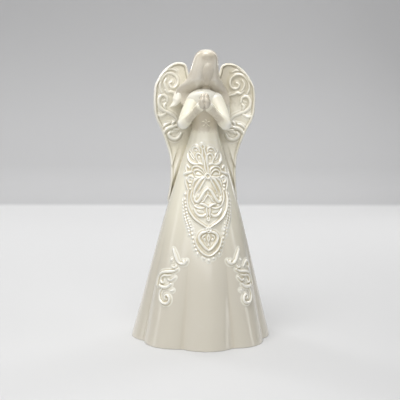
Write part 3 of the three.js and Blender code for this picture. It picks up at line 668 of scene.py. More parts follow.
hairLow, hairHigh = boxOf("hair_mantle")
crown = hairHigh[2]
head = {
    "halfWidth": 8.4, "halfDepth": 10.6, "faceDepth": 10.3, "halfHeight": 13.6, "rise": 16.5, "forward": 7.6,
    "bow": math.radians(18), "chinTaper": 0.3, "tone": 0.42, "columns": 96, "rows": 80, "voxel": 0.42,
}


def makeHead():
    # ring radius sin(turn), narrowed towards the chin by taper * (1 - level) / 2
    turn = np.linspace(0.03, np.pi - 0.03, head["rows"])
    level = -np.cos(turn)
    radius = np.sin(turn) * (1 - head["chinTaper"] * (1 - level) / 2)
    egg = ovalRings(head["halfWidth"] * radius, head["faceDepth"] * radius, head["halfHeight"] * level,
                    head["columns"])
    flat = np.abs(egg[..., 1]) / (head["faceDepth"] * radius[:, None])
    egg[..., 1] *= np.maximum(flat, 0.01) ** -0.3  # a flatter face: depth as |cos|^0.7
    egg = turnX(egg, head["bow"]) + np.array([0, -head["forward"], bustTop + head["rise"]])
    neckPath = [(0, 0.5, -3), (0, -1.2, 4), (0, 1 - head["forward"], head["rise"] - 2)]
    neck = tube(np.array(neckPath) + [0, 0, bustTop], lambda share: bust["neckRadius"] + 0 * share)
    piece = makePiece("head", egg, neck)
    fuse(piece, head["voxel"], 8)
    # painted shade on the face in the opening of the hair
    finishPiece(piece, "hair", "head", reach=2.0, shift=head["tone"])


# Hair: a mantle from the crown, parted over the face, that spreads over the shoulders

hair = {
    "drop": crown - hairLow[2], "sideCover": 2.3, "frontCover": 0.9, "backCover": 1.6,
    "tuckBack": 7, "frontTuck": 10.2, "frontRecede": 1.2, "backFlare": 0.4, "hemTuck": 2.4,
    "faceOpening": 6.2, "faceDepth": 1.3, "faceDeepens": 1.1, "domeShare": 0.34, "frontDomeShare": 0.2,
    "domePower": 2.5, "hemRound": 1.3, "hemShare": 1.16, "strandDepth": 0.5, "rowPower": 1.6,
    "crownFrontShade": 0.5, "crownTopHighlight": -0.6, "columns": 320, "rows": 210,
}
# share of the drop, then how far the mantle has spread in millimetres on the figure's right and left
hairFlare = [
    (0, 0.7, -0.3), (0.1, 1.0, -0.35), (0.2, 1.35, -0.55), (0.3, 2.1, -0.8), (0.45, 3.7, -0.4),
    (0.575, 5.4, 1.1), (0.675, 8.3, 3.6), (0.76, 12.0, 5.6), (0.83, 14.2, 7.2), (0.91, 15.0, 9.0),
    (1, 14.4, 10.3), (1.08, 12.4, 10.7), (1.16, 9.0, 9.6),
]


def hairPoint(angle, share, grow):
    # a superellipse of dome from the crown, steeper in front, then a mantle that flares and tucks back; the
    # front is drawn in by exp(-(x / opening)^4) between the two curtains
    side, front = np.sin(angle), np.cos(angle)
    power = hair["domePower"]
    toDome = 1 - np.minimum(share / hair["domeShare"], 1)
    toBrow = 1 - np.minimum(share / hair["frontDomeShare"], 1)
    domeWide, domeFront = (1 - toDome ** power) ** (1 / power), (1 - toBrow ** power) ** (1 / power)
    hangs = ease(hair["domeShare"], 1, share)
    flare = np.where(side < 0, through(hairFlare, share, 1), through(hairFlare, share, 2))
    flare = flare * np.minimum(domeWide * 2, 1)
    halfWidth = (head["halfWidth"] + hair["sideCover"]) * domeWide + flare + grow
    drawn = hair["frontRecede"] * ease(0.1, 0.5, share) + hair["frontTuck"] * ease(0.62, 0.92, share)
    depthFront = (head["halfDepth"] + hair["frontCover"]) * domeFront - drawn + grow
    depthBack = (head["halfDepth"] + hair["backCover"]) * np.sqrt(1 - toDome ** 2) + hair["backFlare"] * hangs
    depthBack = depthBack + grow - hair["hemTuck"] * ease(0.95, hair["hemShare"], share)
    notch = np.exp(-(np.abs(halfWidth * side) / hair["faceOpening"]) ** 4) * ease(0.07, 0.24, share)
    notch = hair["faceDepth"] * notch * (1 + hair["faceDeepens"] * ease(0.3, 0.6, share))
    depth = np.where(front > 0, depthFront - notch, depthBack) * np.abs(front) ** (0.6 * hangs)
    return pointsAt(halfWidth * side, hair["tuckBack"] * hangs - head["forward"] - depth * front,
                    crown - hair["drop"] * share)


def strands(angle, share):
    # grooves between strands: two sine combs that drift round as they fall, deeper behind than in front
    drift = 0.5 * np.sin(3.1 * share + 1.7 * angle)
    broad = np.sin(13 * angle + 2.2 * drift + 1.5 * share)
    fine = np.sin(29 * angle - 3.5 * drift - 2.5 * share)
    behind = 0.28 + 0.72 * ease(0.35, -0.5, np.cos(angle))
    return hair["strandDepth"] * ease(0.12, 0.45, share) * behind * (0.6 * broad + 0.4 * fine - 1) / 2


def makeHair():
    # rows lie closer together at the crown, and the hem is a quarter round
    hem, power = hair["hemRound"], hair["rowPower"]
    share = np.linspace(0.005, (hair["hemShare"] - hem / hair["drop"]) ** (1 / power), hair["rows"]) ** power
    turn = np.linspace(0, np.pi / 2, 12)[1:]
    shares = np.concatenate([share, hair["hemShare"] - hem * (1 - np.sin(turn)) / hair["drop"]])[:, None]
    insets = np.concatenate([0 * share, -hem * (1 - np.cos(turn))])[:, None]
    angle = fullTurn(hair["columns"])
    piece = makePiece("hair", hairPoint(angle, shares, insets + strands(angle, shares)))
    # painted shade on the front of the crown and a painted highlight on its top
    upward = readVertices(piece, "normal")[:, 2]
    tone = hair["crownFrontShade"] * ease(0.9, 0.75, upward) + hair["crownTopHighlight"] * ease(0.85, 0.95, upward)
    nearCrown = alongRings(ease(0.3, 0.12, shares[:, 0]), hair["columns"])
    finishPiece(piece, "hair", "hair_mantle", reach=1.6, gain=1.4, shift=nearCrown * tone)


# Locks: one flicks outwards on the right, a longer one hangs behind the left arm

# across, setback and depth below the crown of each path point, and the radius there
lockPaths = {
    "right": [(-19.6, 4.2, 31.5, 1.6), (-21.6, 3.2, 35.0, 2.7), (-23.1, 1.8, 38.8, 3.8),
              (-24.1, 1.1, 42.5, 3.9), (-26.0, 0.2, 46.2, 2.6), (-30.2, -1.2, 49.0, 0.5)],
    "left": [(16.2, 3.2, 35.0, 2.0), (18.0, 3.8, 41.5, 3.1), (19.0, 3.8, 48.0, 3.0), (20.2, 3.4, 53.5, 2.1),
             (21.4, 2.8, 57.5, 0.5)],
}
lockTipLight = -0.6


def makeLock(name):
    # the radius follows the table by share of the path's length
    rows = np.array(lockPaths[name])
    path = rows[:, :3] * [1, 1, -1] + [0, 0, crown]
    length = lengthsAlong(path)
    profile = np.stack([length / length[-1], rows[:, 3]], -1)
    rings = tube(path, lambda share: through(profile, share, 1), flat=0.85, rows=110, columns=84)
    piece = makePiece("lock_" + name, rings)
    # the root keeps the hair's painted shade and the free end is painted light, as pale as the lit shoulders
    towardsTip = alongRings(ease(0.3, 0.68, np.linspace(0, 1, len(rings))), rings.shape[1])
    finishPiece(piece, "lock", "hair_lock_" + name, shift=lockTipLight * towardsTip)


# Arms: sleeve, forearm and praying hand; side is -1 on the figure's right

arm = {
    "shoulderReach": 8.8, "shoulderForward": 2.5, "shoulderDrop": 8.4, "shoulderRadius": 7.3,
    "elbowReach": 18, "elbowForward": 12, "elbowDrop": 28, "elbowRadius": 5.1, "puff": 0.6,
    "cuffForward": 22, "cuffDrop": 13.4, "cuffReach": 3.4, "cuffRadius": 4.2, "forearmRadius": 3.4,
    "forearmShade": 0.55, "columns": 108, "rows": 120,
}
hand = {
    "length": 13.9, "lean": math.radians(24), "palmWidth": 8.4, "palmThickness": 5.6, "palmShare": 0.62,
    "fingerRadius": 2.2, "fingertip": 0.8, "firstFinger": 0.36, "fingerPitch": 0.24,
    "thumbRadius": 1.5, "thumbLength": 6.5, "thumbFrom": 0.2, "wristTuck": 1.9,
    "apart": -0.1, "pressed": 0.12, "tone": 0.2, "upperShade": 0.35, "voxel": 0.2,
}
# share of the hand's length, then half width and thickness as shares of the palm's
palmProfile = [(0, 0.66, 0.66), (0.14, 0.8, 0.78), (0.32, 0.98, 0.94), (0.5, 1, 0.94), (0.62, 0.94, 0.8)]
fingerLengths = (0.86, 0.96, 1, 0.88)  # shares of the hand's length, from the little finger's side
# a finger's lower joints: across in its radii, forward as a share of its place, up as a share of the hand's
# length; then the thumb's: across in its radii, back as a share of the palm's width, up as a share of its own
fingerJoints = [(0.75, 1, 0.36), (0.95, 0.9, 0.62)]
thumbJoints = [(1, 0.28, 0), (1.25, 0.52, 0.5), (0.95, 0.56, 1)]


def armPoint(side, joint):
    reach, forward, drop = (arm[joint + way] for way in ("Reach", "Forward", "Drop"))
    return turnZ(np.array([side * reach, -forward, bustTop - drop]), bust["turn"])


def makeArm(name, side):
    shoulder, elbow, cuff = (armPoint(side, joint) for joint in ("shoulder", "elbow", "cuff"))
    middle = (shoulder + elbow) / 2 + np.array([side * arm["puff"], 0, 0])
    sleeve = tube([shoulder, middle, elbow], lambda s: mix(arm["shoulderRadius"], arm["elbowRadius"], s),
                  arm["columns"], arm["rows"])
    finishPiece(makePiece("sleeve_" + name, sleeve), "ivory", "sleeve_" + name)

    def radiusAt(share):
        taper = mix(arm["elbowRadius"], arm["forearmRadius"], ease(0, 0.6, share))
        return mix(taper, arm["cuffRadius"], ease(0.7, 1, share))

    forearm = tube([elbow, (elbow + cuff) / 2, cuff], radiusAt, arm["columns"], arm["rows"])
    outwards = turnZ(np.array([side, 0, 0]), bust["turn"])  # the forearms stop at the plane between the hands
    forearm = forearm + np.maximum(0, hand["apart"] - forearm @ outwards)[..., None] * outwards
    piece = makePiece("forearm_" + name, forearm)
    # painted shade from the elbow to the cuff, except on top
    towardsCuff = alongRings(ease(0.12, 0.4, np.linspace(0, 1, len(forearm))), arm["columns"])
    shift = arm["forearmShade"] * towardsCuff * ease(0.65, 0.1, readVertices(piece, "normal")[:, 2])
    finishPiece(piece, "bodice", "forearm_" + name, shift=shift)


def makeHand(name, side):
    wrist = np.array([0, -arm["cuffForward"], bustTop - arm["cuffDrop"] - hand["wristTuck"]])
    outwards = turnZ(np.array([side, 0, 0]), bust["turn"])

    def place(across, forward, up):
        return turnZ(turnX(pointsAt(side * across, -forward, up), hand["lean"]) + wrist, bust["turn"])

    def digit(joints, radius, ends, bulge, waves, rows):
        # the radius runs between its end shares and bulges at the knuckles by a sine
        return tube([place(*joint) for joint in joints],
                    lambda s: radius * (mix(*ends, s) + bulge * np.sin(waves * s)), 36, rows)

    # palm: ovals cut flat at the plane between the hands, closing over the knuckles by a quarter round
    up = np.linspace(0, 1, 70)
    close = np.sqrt(np.clip(1 - (np.maximum(0, up - 0.86) / 0.145) ** 2, 0.02, 1))
    angle = fullTurn(72)
    length, width = hand["length"], hand["palmWidth"]
    wide = (width / 2 * through(palmProfile, up * hand["palmShare"], 1) * close)[:, None]
    thick = (hand["palmThickness"] * through(palmProfile, up * hand["palmShare"], 2) * close)[:, None]
    palm = place(np.maximum(hand["apart"], thick * np.sin(angle)), wide * np.cos(angle),
                 length * hand["palmShare"] * up[:, None])
    skins = [palm]
    radius = hand["fingerRadius"]
    for i, long in enumerate(fingerLengths):
        forward = width * (hand["firstFinger"] - hand["fingerPitch"] * i)
        joints = [(radius * out, forward * along, length * rise) for out, along, rise in fingerJoints]
        joints.append((radius * 0.6, forward * 0.6, length * long - radius * hand["fingertip"]))
        skins.append(digit(joints, radius, (1.25, 0.88), 0.05, 9.5, 60))
    radius, base = hand["thumbRadius"], length * hand["thumbFrom"]
    joints = [(radius * out, -width * back, base + hand["thumbLength"] * rise)
              for out, back, rise in thumbJoints]
    skins.append(digit(joints, radius, (1.3, 0.8), 0.08, 7, 50))
    piece = makePiece("hand_" + name, *skins)
    fuse(piece, hand["voxel"], 9)
    # the fingers lie flat against the other hand's
    co = readVertices(piece, "co")
    co += np.maximum(0, hand["pressed"] * mm - co @ outwards)[:, None] * outwards
    piece.data.vertices.foreach_set("co", co.astype(np.float32).ravel())
    # painted shade all over, and most where the hands face up and catch the light
    shift = hand["tone"] + hand["upperShade"] * ease(0.1, 0.6, readVertices(piece, "normal")[:, 2])
    finishPiece(piece, "hair", "hand_" + name, reach=0.9, shift=shift)


# Wings: cupped shells with a raised round rim; their tails wrap the gown

wing = {
    "top": 239, "tail": 117, "halfSpan": 44.3, "spineGap": 1, "thickness": 3, "beadWidth": 2.7,
    "beadHeight": 1.25, "beadInnerFrom": 203, "spineSetback": 1.9, "leanBack": 3, "cup": 11,
    "wrapGap": 6.5, "wrapSetback": 0.9, "wrapTopShare": 0.78, "shelf": 3, "shelfGap": 2, "shelfSlope": 0.07,
    "tipRound": 2.2, "edgeRound": 1.6, "edgeShare": 0.35, "rowEase": 0.85,
    "cupFrom": 188, "cupTo": 222, "cupShade": {"right": 0.17, "left": 0.48},
    "rows": 260, "columns": 96, "edgeColumns": 12,
}
# share of the height from the tail to the top, then the inner and outer edges as shares of the span
wingOutline = [
    (0, 0.6, 0.68), (0.03, 0.47, 0.7), (0.08, 0.36, 0.68), (0.14, 0.24, 0.66), (0.23, 0.09, 0.65),
    (0.31, 0.02, 0.66), (0.43, 0, 0.75), (0.54, 0, 0.87), (0.6, 0, 0.95), (0.66, 0, 0.99), (0.74, 0.02, 1),
    (0.82, 0.12, 0.985), (0.89, 0.25, 0.9), (0.93, 0.283, 0.825), (0.96, 0.3, 0.745), (0.985, 0.335, 0.645),
    (1, 0.42, 0.54),
]


def wingSetback(across, height):
    # behind the middle plane: the tail follows an ellipse round the gown, and the top cups forward as the
    # square of the distance across
    halfWidth, halfDepth = gownSize(height)
    ellipse = np.sqrt(np.maximum(0, 1 - (across / (halfWidth + wing["wrapGap"])) ** 2))
    inwards = np.maximum(0, halfWidth + wing["shelfGap"] - across)
    shelf = wing["shelf"] + wing["shelfSlope"] * halfDepth * inwards
    wrapped = np.minimum((halfDepth + wing["wrapSetback"]) * ellipse, shelf)
    lean = wing["leanBack"] * ease(bustTop - arm["elbowDrop"], wing["top"], height)
    cup = wing["cup"] * (across / wing["halfSpan"]) ** 2
    cupped = bust["chestHalfDepth"] + wing["spineSetback"] + lean - cup
    return mix(wrapped, cupped, ease(gown["height"] * wing["wrapTopShare"], gown["height"], height))


def wingSide(share, column):
    # across and height of the inner (column 1) or outer (column 2) edge, at a share of the height
    across = wing["halfSpan"] * through(wingOutline, share, column) + (wing["spineGap"] if column == 1 else 0)
    return across, mix(wing["tail"], wing["top"], share)


def wingShare(height):
    return (height - wing["tail"]) / (wing["top"] - wing["tail"])


def wingEdge():
    # the outline from the tail up the outer edge, over the top and down the inner edge to the shoulder
    outer = np.stack(wingSide(np.linspace(0, 1, 150), 2), -1)
    inner = np.stack(wingSide(np.linspace(1, wingShare(wing["beadInnerFrom"]), 50), 1), -1)
    return smoothPath(np.concatenate([outer, inner]), 190)


def wingFront(across, height, offset=0.0):
    # y of the front: a bead of section (1 - r^2)^1.2 runs along the outline, half its width inside it
    across, height = np.broadcast_arrays(across, height)
    toEdge, _ = strokeDistance(wingEdge(), across.ravel(), height.ravel())
    half = wing["beadWidth"] / 2
    bead = wing["beadHeight"] * np.maximum(0, 1 - ((toEdge.reshape(across.shape) - half) / half) ** 2) ** 1.2
    return wingSetback(across, height) - wing["thickness"] / 2 - bead - offset


def cupShadeAt(piece, name):
    # painted shade in the cups of the wings, towards their tops; deeper on the figure's left wing, where the
    # head's shadow falls
    height = readVertices(piece, "co")[:, 2] / mm
    forwards = ease(0.1, -0.3, readVertices(piece, "normal")[:, 1])
    return wing["cupShade"][name] * ease(wing["cupFrom"], wing["cupTo"], height) * forwards


def makeWing(name, side):
    # each row is a closed section: the front from inner to outer edge, a half round, the back, a half round
    even = np.linspace(0, 1, wing["rows"])
    up = np.clip(mix(even, (1 - np.cos(even * np.pi)) / 2, wing["rowEase"]), 0.0015, 0.9985)
    inner, height = (values[:, None] for values in wingSide(up, 1))
    outer = wingSide(up, 2)[0][:, None]
    toTip = np.minimum(wing["top"] - height, height - wing["tail"])
    close = np.sqrt(np.clip(1 - (1 - np.clip(toTip / wing["tipRound"], 0, 1)) ** 2, 0.001, 1))
    edge = np.minimum(wing["edgeRound"], (outer - inner) * wing["edgeShare"])
    t = (1 - np.cos(np.linspace(0, np.pi, wing["columns"]))) / 2
    across = mix(inner + edge, outer - edge, t)
    middle = wingSetback(across, height)
    frontY = middle + (wingFront(across, height) - middle) * close
    backY = middle + wing["thickness"] / 2 * close
    turn = np.linspace(0, np.pi, wing["edgeColumns"] + 2)[1:-1]

    def halfRound(edgeAcross, column, direction):
        front, back = frontY[:, column, None], backY[:, column, None]
        return (edgeAcross + direction * edge * np.sin(turn),
                (front + back) / 2 - direction * (back - front) / 2 * np.cos(turn))

    outerX, outerY = halfRound(outer - edge, -1, 1)
    innerX, innerY = halfRound(inner + edge, 0, -1)
    x = np.concatenate([across, outerX, across[:, ::-1], innerX], 1)
    y = np.concatenate([frontY, outerY, backY[:, ::-1], innerY], 1)
    piece = makePiece("wing_" + name, pointsAt(side * x, y, height))
    finishPiece(piece, "wing", "wing_" + name, reach=2.4, gain=1.6, shift=cupShadeAt(piece, name))


makeBust()
makeHead()
makeHair()
for name, side in (("right", -1), ("left", 1)):
    makeLock(name)
    makeArm(name, side)
    makeHand(name, side)
    makeWing(name, side)
print("figure made")


# Relief: raised scrollwork on the gown and the wings. Each stroke is a width, a rise, then points

relief = {
    "pitch": 0.23, "ground": 0.32, "buried": 0.9, "keepWithin": 2.6, "boldness": 1.25, "edgeInset": 1.5,
    "medallionMiddle": 1.0, "medallionLeanFrom": 143.0, "medallionLean": 0.15,
}
# across from the ornament's middle line and height above the foot, mirrored to the other half
medallionHalf = [
    (1.7, 1.2, (0.5, 145.4), (1.2, 148.5), (1.1, 152), (0.9, 156), (1.7, 160), (1, 163.4), (0.9, 166.2)),
    (1.5, 0.9, (2.2, 153.8), (1.9, 157.2), (2.8, 160.8), (4.9, 162), (7, 160.2), (7, 157), (5.6, 154.6)),
    (1.9, 0.8, (2.4, 152.6), (4.6, 153.6), (7, 153.2)), (-1.9, 0.5, (4.3, 158.9), (4.9, 157.8)),
    (1.7, 0.9, (3.4, 163.4), (4.2, 166.2), (6.8, 167.2), (9.4, 165.8), (10.6, 163.2)),
    (-1.5, 0.5, (5.4, 164.4), (7.6, 164.2)), (1.3, 0.7, (0, 169.6), (1.5, 168.4), (1.2, 166.6), (0, 165.8)),
    (2.3, 1.1, (7.6, 152.8), (10.4, 153.2), (13.2, 154.6), (15.2, 157.6), (15.8, 161)),
    (1.5, 0.8, (8.8, 158.4), (10.4, 161.4), (12.8, 163.8)),
    (-1.7, 0.6, (9.8, 156.8), (11.6, 159), (13, 161.6)),
    (1.5, 1.1, (2, 145.4), (3.2, 148.4), (5.8, 150.7), (9.2, 151.2), (12, 149.8), (13.2, 147.4)),
    (1.4, 1, (2.8, 144.6), (4.6, 147), (7.2, 148.4), (9.8, 147.9), (11.2, 146.2), (10.6, 144.2)),
    (-2.3, 0.6, (5.8, 144.4), (8, 145), (9.2, 144.6)), (-1.2, 0.4, (5.6, 149.3), (8.6, 149.8)),
    (1.6, 0.9, (2.6, 143.2), (5, 142.4), (8, 142), (10.4, 142.6)),
    (2.4, 1.1, (13.2, 146.8), (16, 145.6), (19, 145), (21.6, 143.8)),
    (1.8, 1, (15.2, 149.6), (17.2, 151.6), (18.6, 149.4), (18.4, 146.6)),
    (2, 1.1, (12.2, 141.8), (14.2, 143.2), (16.4, 142.4), (17.2, 140), (16.2, 137.8), (14.2, 137.6)),
    (-1.5, 0.6, (13.8, 141.2), (13.9, 139.2)),
    (1.5, 0.8, (18.6, 141.6), (19.6, 138), (18.8, 134.4), (17.6, 131.6)),
    (2.2, 0.9, (15.4, 135.4), (15.5, 134.6)), (2, 0.9, (15.2, 132.4), (15.2, 131.6)),
    (1.9, 0.7, (19.8, 128.4), (20.4, 126.8)),
    (2.2, 1.2, (2.6, 142.4), (5.4, 140.6), (8.4, 136.8), (10.8, 132.4), (11.8, 129)),
    (1.5, 1, (2, 141.2), (3.8, 137.8), (5.8, 134.2), (7.8, 130.8)),
    (1.7, 0.9, (6.2, 142.6), (9, 140.8), (11.4, 138.6), (12.6, 135.6)),
    (2.5, 1.3, (0, 132.8), (2.4, 131.2), (4.8, 127.4), (7, 123.8), (9.4, 121.9), (11.2, 123.2),
     (11, 125.4)), (1.4, 0.8, (0.2, 127.6), (1.9, 125.8), (3.7, 122.8), (5.8, 121.4)),
    (-1.5, 0.5, (0, 130), (0, 128.8)), (-1.4, 0.5, (2.6, 127), (5.2, 123.4)),
    (-1.7, 0.6, (8, 127.6), (8.6, 126)), (-1.7, 0.6, (12.2, 127.4), (12.4, 125.2)),
    (2.1, 1.2, (0, 117.6), (1.6, 118.6), (3.8, 119.9), (6.4, 120.4)),
    (1.5, 1.1, (1.2, 117.8), (1.4, 114.6), (0.9, 111.4), (1.8, 109.6)),
    (1.8, 0.9, (3.4, 117.2), (6.2, 116.6), (9.2, 117.2), (11.6, 118.6)),
    (2.1, 1.1, (2.2, 111.8), (4.8, 110.4), (7.8, 110.8), (10.4, 113.2), (11.8, 115.8)),
    (-2.5, 0.6, (4.4, 113.6), (7, 114), (9.4, 114.6)), (-1.3, 0.5, (8.2, 118.9), (10.2, 119.3)),
    (-1.2, 0.5, (0, 115.4), (0, 111.2)), (1.7, 1, (0.7, 109), (0.9, 107.4), (0, 106.2)),
    (1.7, 1.3, (17, 130.4), (17.9, 125.6), (17.6, 120), (15.8, 114), (12.2, 108.8), (8, 105.4),
     (3.8, 102.6), (0.4, 100.2)), (1.4, 0.9, (12.2, 119.6), (13.9, 123), (14.4, 127), (13.6, 130.6)),
    (1.6, 1, (0.2, 101.4), (2, 99.6), (1.6, 97.6), (0, 96.8)),
    (2.3, 1.3, (0.2, 98.8), (3, 97.4), (6, 96.2), (7.9, 93.4), (7.4, 90.2), (5.2, 87), (2.8, 84.2),
     (0, 82.2)), (1.3, 0.9, (0, 95.4), (0.9, 92.2), (0, 89)),
    (1.3, 0.8, (3, 94.8), (4.8, 93.4), (5.2, 91.6)), (-2, 0.6, (3.6, 91.6), (3.2, 90)),
    (-1.3, 0.5, (0, 87.6), (0.7, 86)),
    (1.7, 1.2, (11.6, 91.4), (10.5, 87.2), (8.2, 83.2), (5.2, 80.2), (2.4, 78.4), (0, 77.8)),
    (1.8, 0.6, (4.6, 76), (3.4, 75.4)), (1.6, 0.5, (0.4, 74.6), (0, 73.4)),
]
# beads that follow the frame down and close round the pendant: share of the way, across and height
beadLine = [(0, 20.4, 123.5), (0.3, 18.2, 110.5), (0.6, 14.6, 100), (0.82, 12.6, 88.6), (1, 9.4, 79.5)]
for share in np.linspace(0, 1, 17):
    x, z = float(through(beadLine, share, 1)), float(through(beadLine, share, 2))
    medallionHalf.append((2.4, 0.8, (x, z), (x - 0.2, z - 0.6)))
    if share < 0.75:
        medallionHalf.append((2.0, 0.55, (x + 2.4, z - 1.2), (x + 2.2, z - 1.7)))
# ring round the bow's boss, whole
medallionWhole = [(1.7, 1.2, (2.1, 143.3), (0, 145.4), (-2.1, 143.3), (0, 141.2), (2.1, 143.3)),
                  (-1.7, 0.5, (0, 143.6), (0, 143.0))]
# distance round from the front and height above the foot
sprayBoth = [
    (2.7, 1.2, (30.4, 81.4), (28.2, 76.8), (26.4, 72.8), (24.2, 70.6)),
    (2.3, 1.1, (25.4, 71.2), (22.4, 70.4), (19.6, 71.2), (18, 73)), (2.6, 1, (21, 72.6), (20.2, 71.8)),
    (2.2, 0.9, (31.4, 73.4), (32.4, 72)), (2, 0.9, (27.4, 68.6), (28.6, 66.8), (31, 67.2)),
    (2.2, 1.2, (26.6, 65.6), (30, 63.8), (34.4, 63), (39.2, 62.2), (44, 60.6), (47.4, 57.4), (49.2, 53),
     (49.8, 50)),
    (1.8, 1.1, (33.2, 60.2), (36.2, 59.6), (39.6, 59.4), (42.8, 58), (44, 55.4), (42.6, 53.2),
     (40.2, 53.6), (39.6, 55.6)), (1.8, 0.9, (28.8, 58.8), (30.6, 57.2), (32.8, 56), (35.4, 56.4)),
    (2.4, 1.2, (32.8, 53), (35.4, 50.9), (38.6, 49.8), (42.4, 49.6), (46, 50.6)),
    (1.6, 1, (41.8, 49.2), (43.8, 46.4), (44.9, 43.2), (44.2, 40)),
    (2.1, 1.2, (44.6, 41.4), (43.4, 38.4), (40.2, 36.8), (36.6, 37), (34.2, 39.2), (34.2, 42),
     (36.2, 43.8), (38.6, 42.8), (38.4, 40.6)), (-1.8, 0.4, (36.6, 40.6), (37, 40.2)),
    (1.9, 0.7, (30.6, 48.2), (32.8, 47.4)),
]
sprayLeftOnly = [
    (2.0, 1.1, (35.6, 67.2), (38, 69.8), (41.2, 70.8), (44.2, 69.6), (45.4, 66.8), (43.6, 65), (41.8, 66.2)),
]
# distance from the middle plane and height; the upper scrolls are fainter, as in the photo
wingUpper = [
    (2.7, 0.78, (23.4, 189.8), (25.6, 192.6), (29, 194.6), (32.4, 196.2), (35.8, 197.9), (38.6, 200.4),
     (39.8, 203.8), (39.3, 207.6), (37.2, 210.1), (34.6, 210.2), (32.5, 208.4), (32, 205.6)),
    (-2.2, 0.3, (34.2, 206.4), (36.4, 205.4)), (2.2, 0.66, (33.8, 198.8), (34.6, 201.6), (33.2, 203.6)),
    (2.5, 0.6, (33.6, 195.2), (35.8, 193.4), (38.4, 192.6), (40.4, 193.6)),
    (2.3, 0.66, (37, 212.6), (38.6, 217), (38.2, 222), (35.8, 226.2), (32, 228.9), (27.6, 228.8),
     (24, 226.2), (22.7, 222.2), (23.8, 218.4), (26.6, 216.8), (29.4, 217.9), (30.2, 220.6), (28.2, 222)),
    (2.4, 0.6, (22.8, 210.8), (25.6, 211.8), (28.6, 213.2), (31.6, 213), (33.6, 214.8)),
    (2, 0.54, (31.6, 214.4), (33.8, 217.6), (34.6, 221.4), (33, 224.4)),
    (1.9, 0.48, (24.2, 231.2), (27.4, 232.6), (31, 232.2), (34, 230.2)),
]
wingLower = [
    (2.3, 1, (25, 188.2), (26.6, 187), (27.4, 184.8)),
    (2.9, 1.2, (23.6, 184.4), (26.6, 183.4), (30, 182.6), (33, 180.8), (34.6, 178)),
    (2, 0.8, (29.6, 186.6), (32.6, 185.6), (35.4, 183.2)),
    (2.9, 1.3, (19.6, 177.2), (21.6, 174), (25, 172.6), (28.6, 173.8), (30.6, 176.6), (29.2, 178.8)),
    (-2.6, 0.6, (23.4, 179.4), (26.4, 178.8), (28.2, 178.2)),
    (1.8, 0.8, (21.2, 180.6), (23.6, 181), (26.4, 181.2)),
]


def mirrored(strokes):
    # the strokes and their mirror image about a line
    return strokes + [(width, rise, *[(-x, y) for x, y in points]) for width, rise, *points in strokes]


def makeRelief(name, strokes, place, low, high, wingName=None):
    # a patch over a window of the flat map; place turns across, height and offset into a point. On a wing the
    # patch sinks where it would pass the edge
    across = np.arange(low[0], high[0] + relief["pitch"], relief["pitch"])
    height = np.linspace(low[1], high[1], int(round((high[1] - low[1]) / relief["pitch"])) + 1)
    x, z = np.meshgrid(across, height)
    raised, near = (values.reshape(x.shape) for values in reliefField(strokes, x.ravel(), z.ravel()))
    raised = relief["boldness"] * raised
    if wingName:
        near = np.maximum(near, beyondWing(x, z))
    offset = mix(relief["ground"], -0.1, ease(0.1, 2.2, near)) + raised * ease(3.2, 2.0, near)
    close = near[:-1, :-1] < relief["keepWithin"]
    piece = makePiece(name, patchSkin(place(x, z, offset), place(x, z, 0 * x - relief["buried"]), close))
    piece.data.set_sharp_from_angle(angle=crispAngle)
    finishPiece(piece, "wingRelief" if wingName else "relief", name, reach=1.0, gain=2.2,
                shift=cupShadeAt(piece, wingName) if wingName else 0.0)


def onGown(side):
    return lambda across, height, offset: gownPoint(side * across / gownSize(height)[0], height, offset)


def onMedallion(across, height, offset):
    # the ornament's middle line lies a little to the left, and leans right above the bow
    lean = relief["medallionLean"] * np.maximum(0, height - relief["medallionLeanFrom"])
    return onGown(1)(across + relief["medallionMiddle"] - lean, height, offset)


def onWing(side):
    return lambda across, height, offset: pointsAt(side * across, wingFront(across, height, offset), height)


def beyondWing(across, height):
    # passes keepWithin at the inset from the wing's outer edge
    return relief["keepWithin"] + relief["edgeInset"] - (wingSide(wingShare(height), 2)[0] - across)


medallion = mirrored(medallionHalf) + medallionWhole
for part, low, high in (("bow", (-23, 141), (23, 171.6)), ("frame", (-23, 100), (23, 141)),
                        ("pendant", (-21, 71), (21, 100))):
    makeRelief("medallion_" + part, medallion, onMedallion, low, high)
for name, side in (("right", -1), ("left", 1)):
    spray = sprayBoth + (sprayLeftOnly if side > 0 else [])
    makeRelief("hem_spray_" + name, spray, onGown(side), (14, 33), (53, 85))
    for part, strokes, low, high in (("upper_", wingUpper, (19, 187), (43, 236)),
                                     ("lower_", wingLower, (16, 169), (39, 189.5))):
        makeRelief("wing_scroll_" + part + name, strokes, onWing(side), low, high, name)
print("relief made")


# Stage: a pale floor that sweeps up into a grey wall, in metres

stage = {
    "halfWidth": 1.6, "front": -1.6, "wallAt": 0.857, "sweep": 0.07, "top": 1.3, "roughness": 0.75,
    "wallLowLit": (0.67, 0.67, 0.675), "wallHighShaded": (0.47, 0.47, 0.475), "floorNearShaded": (0.67, 0.67, 0.67),
    "floorFarLit": (0.98, 0.98, 0.98), "floorPower": 1.3, "grainScale": 900.0, "grainHeight": 0.00005,
}


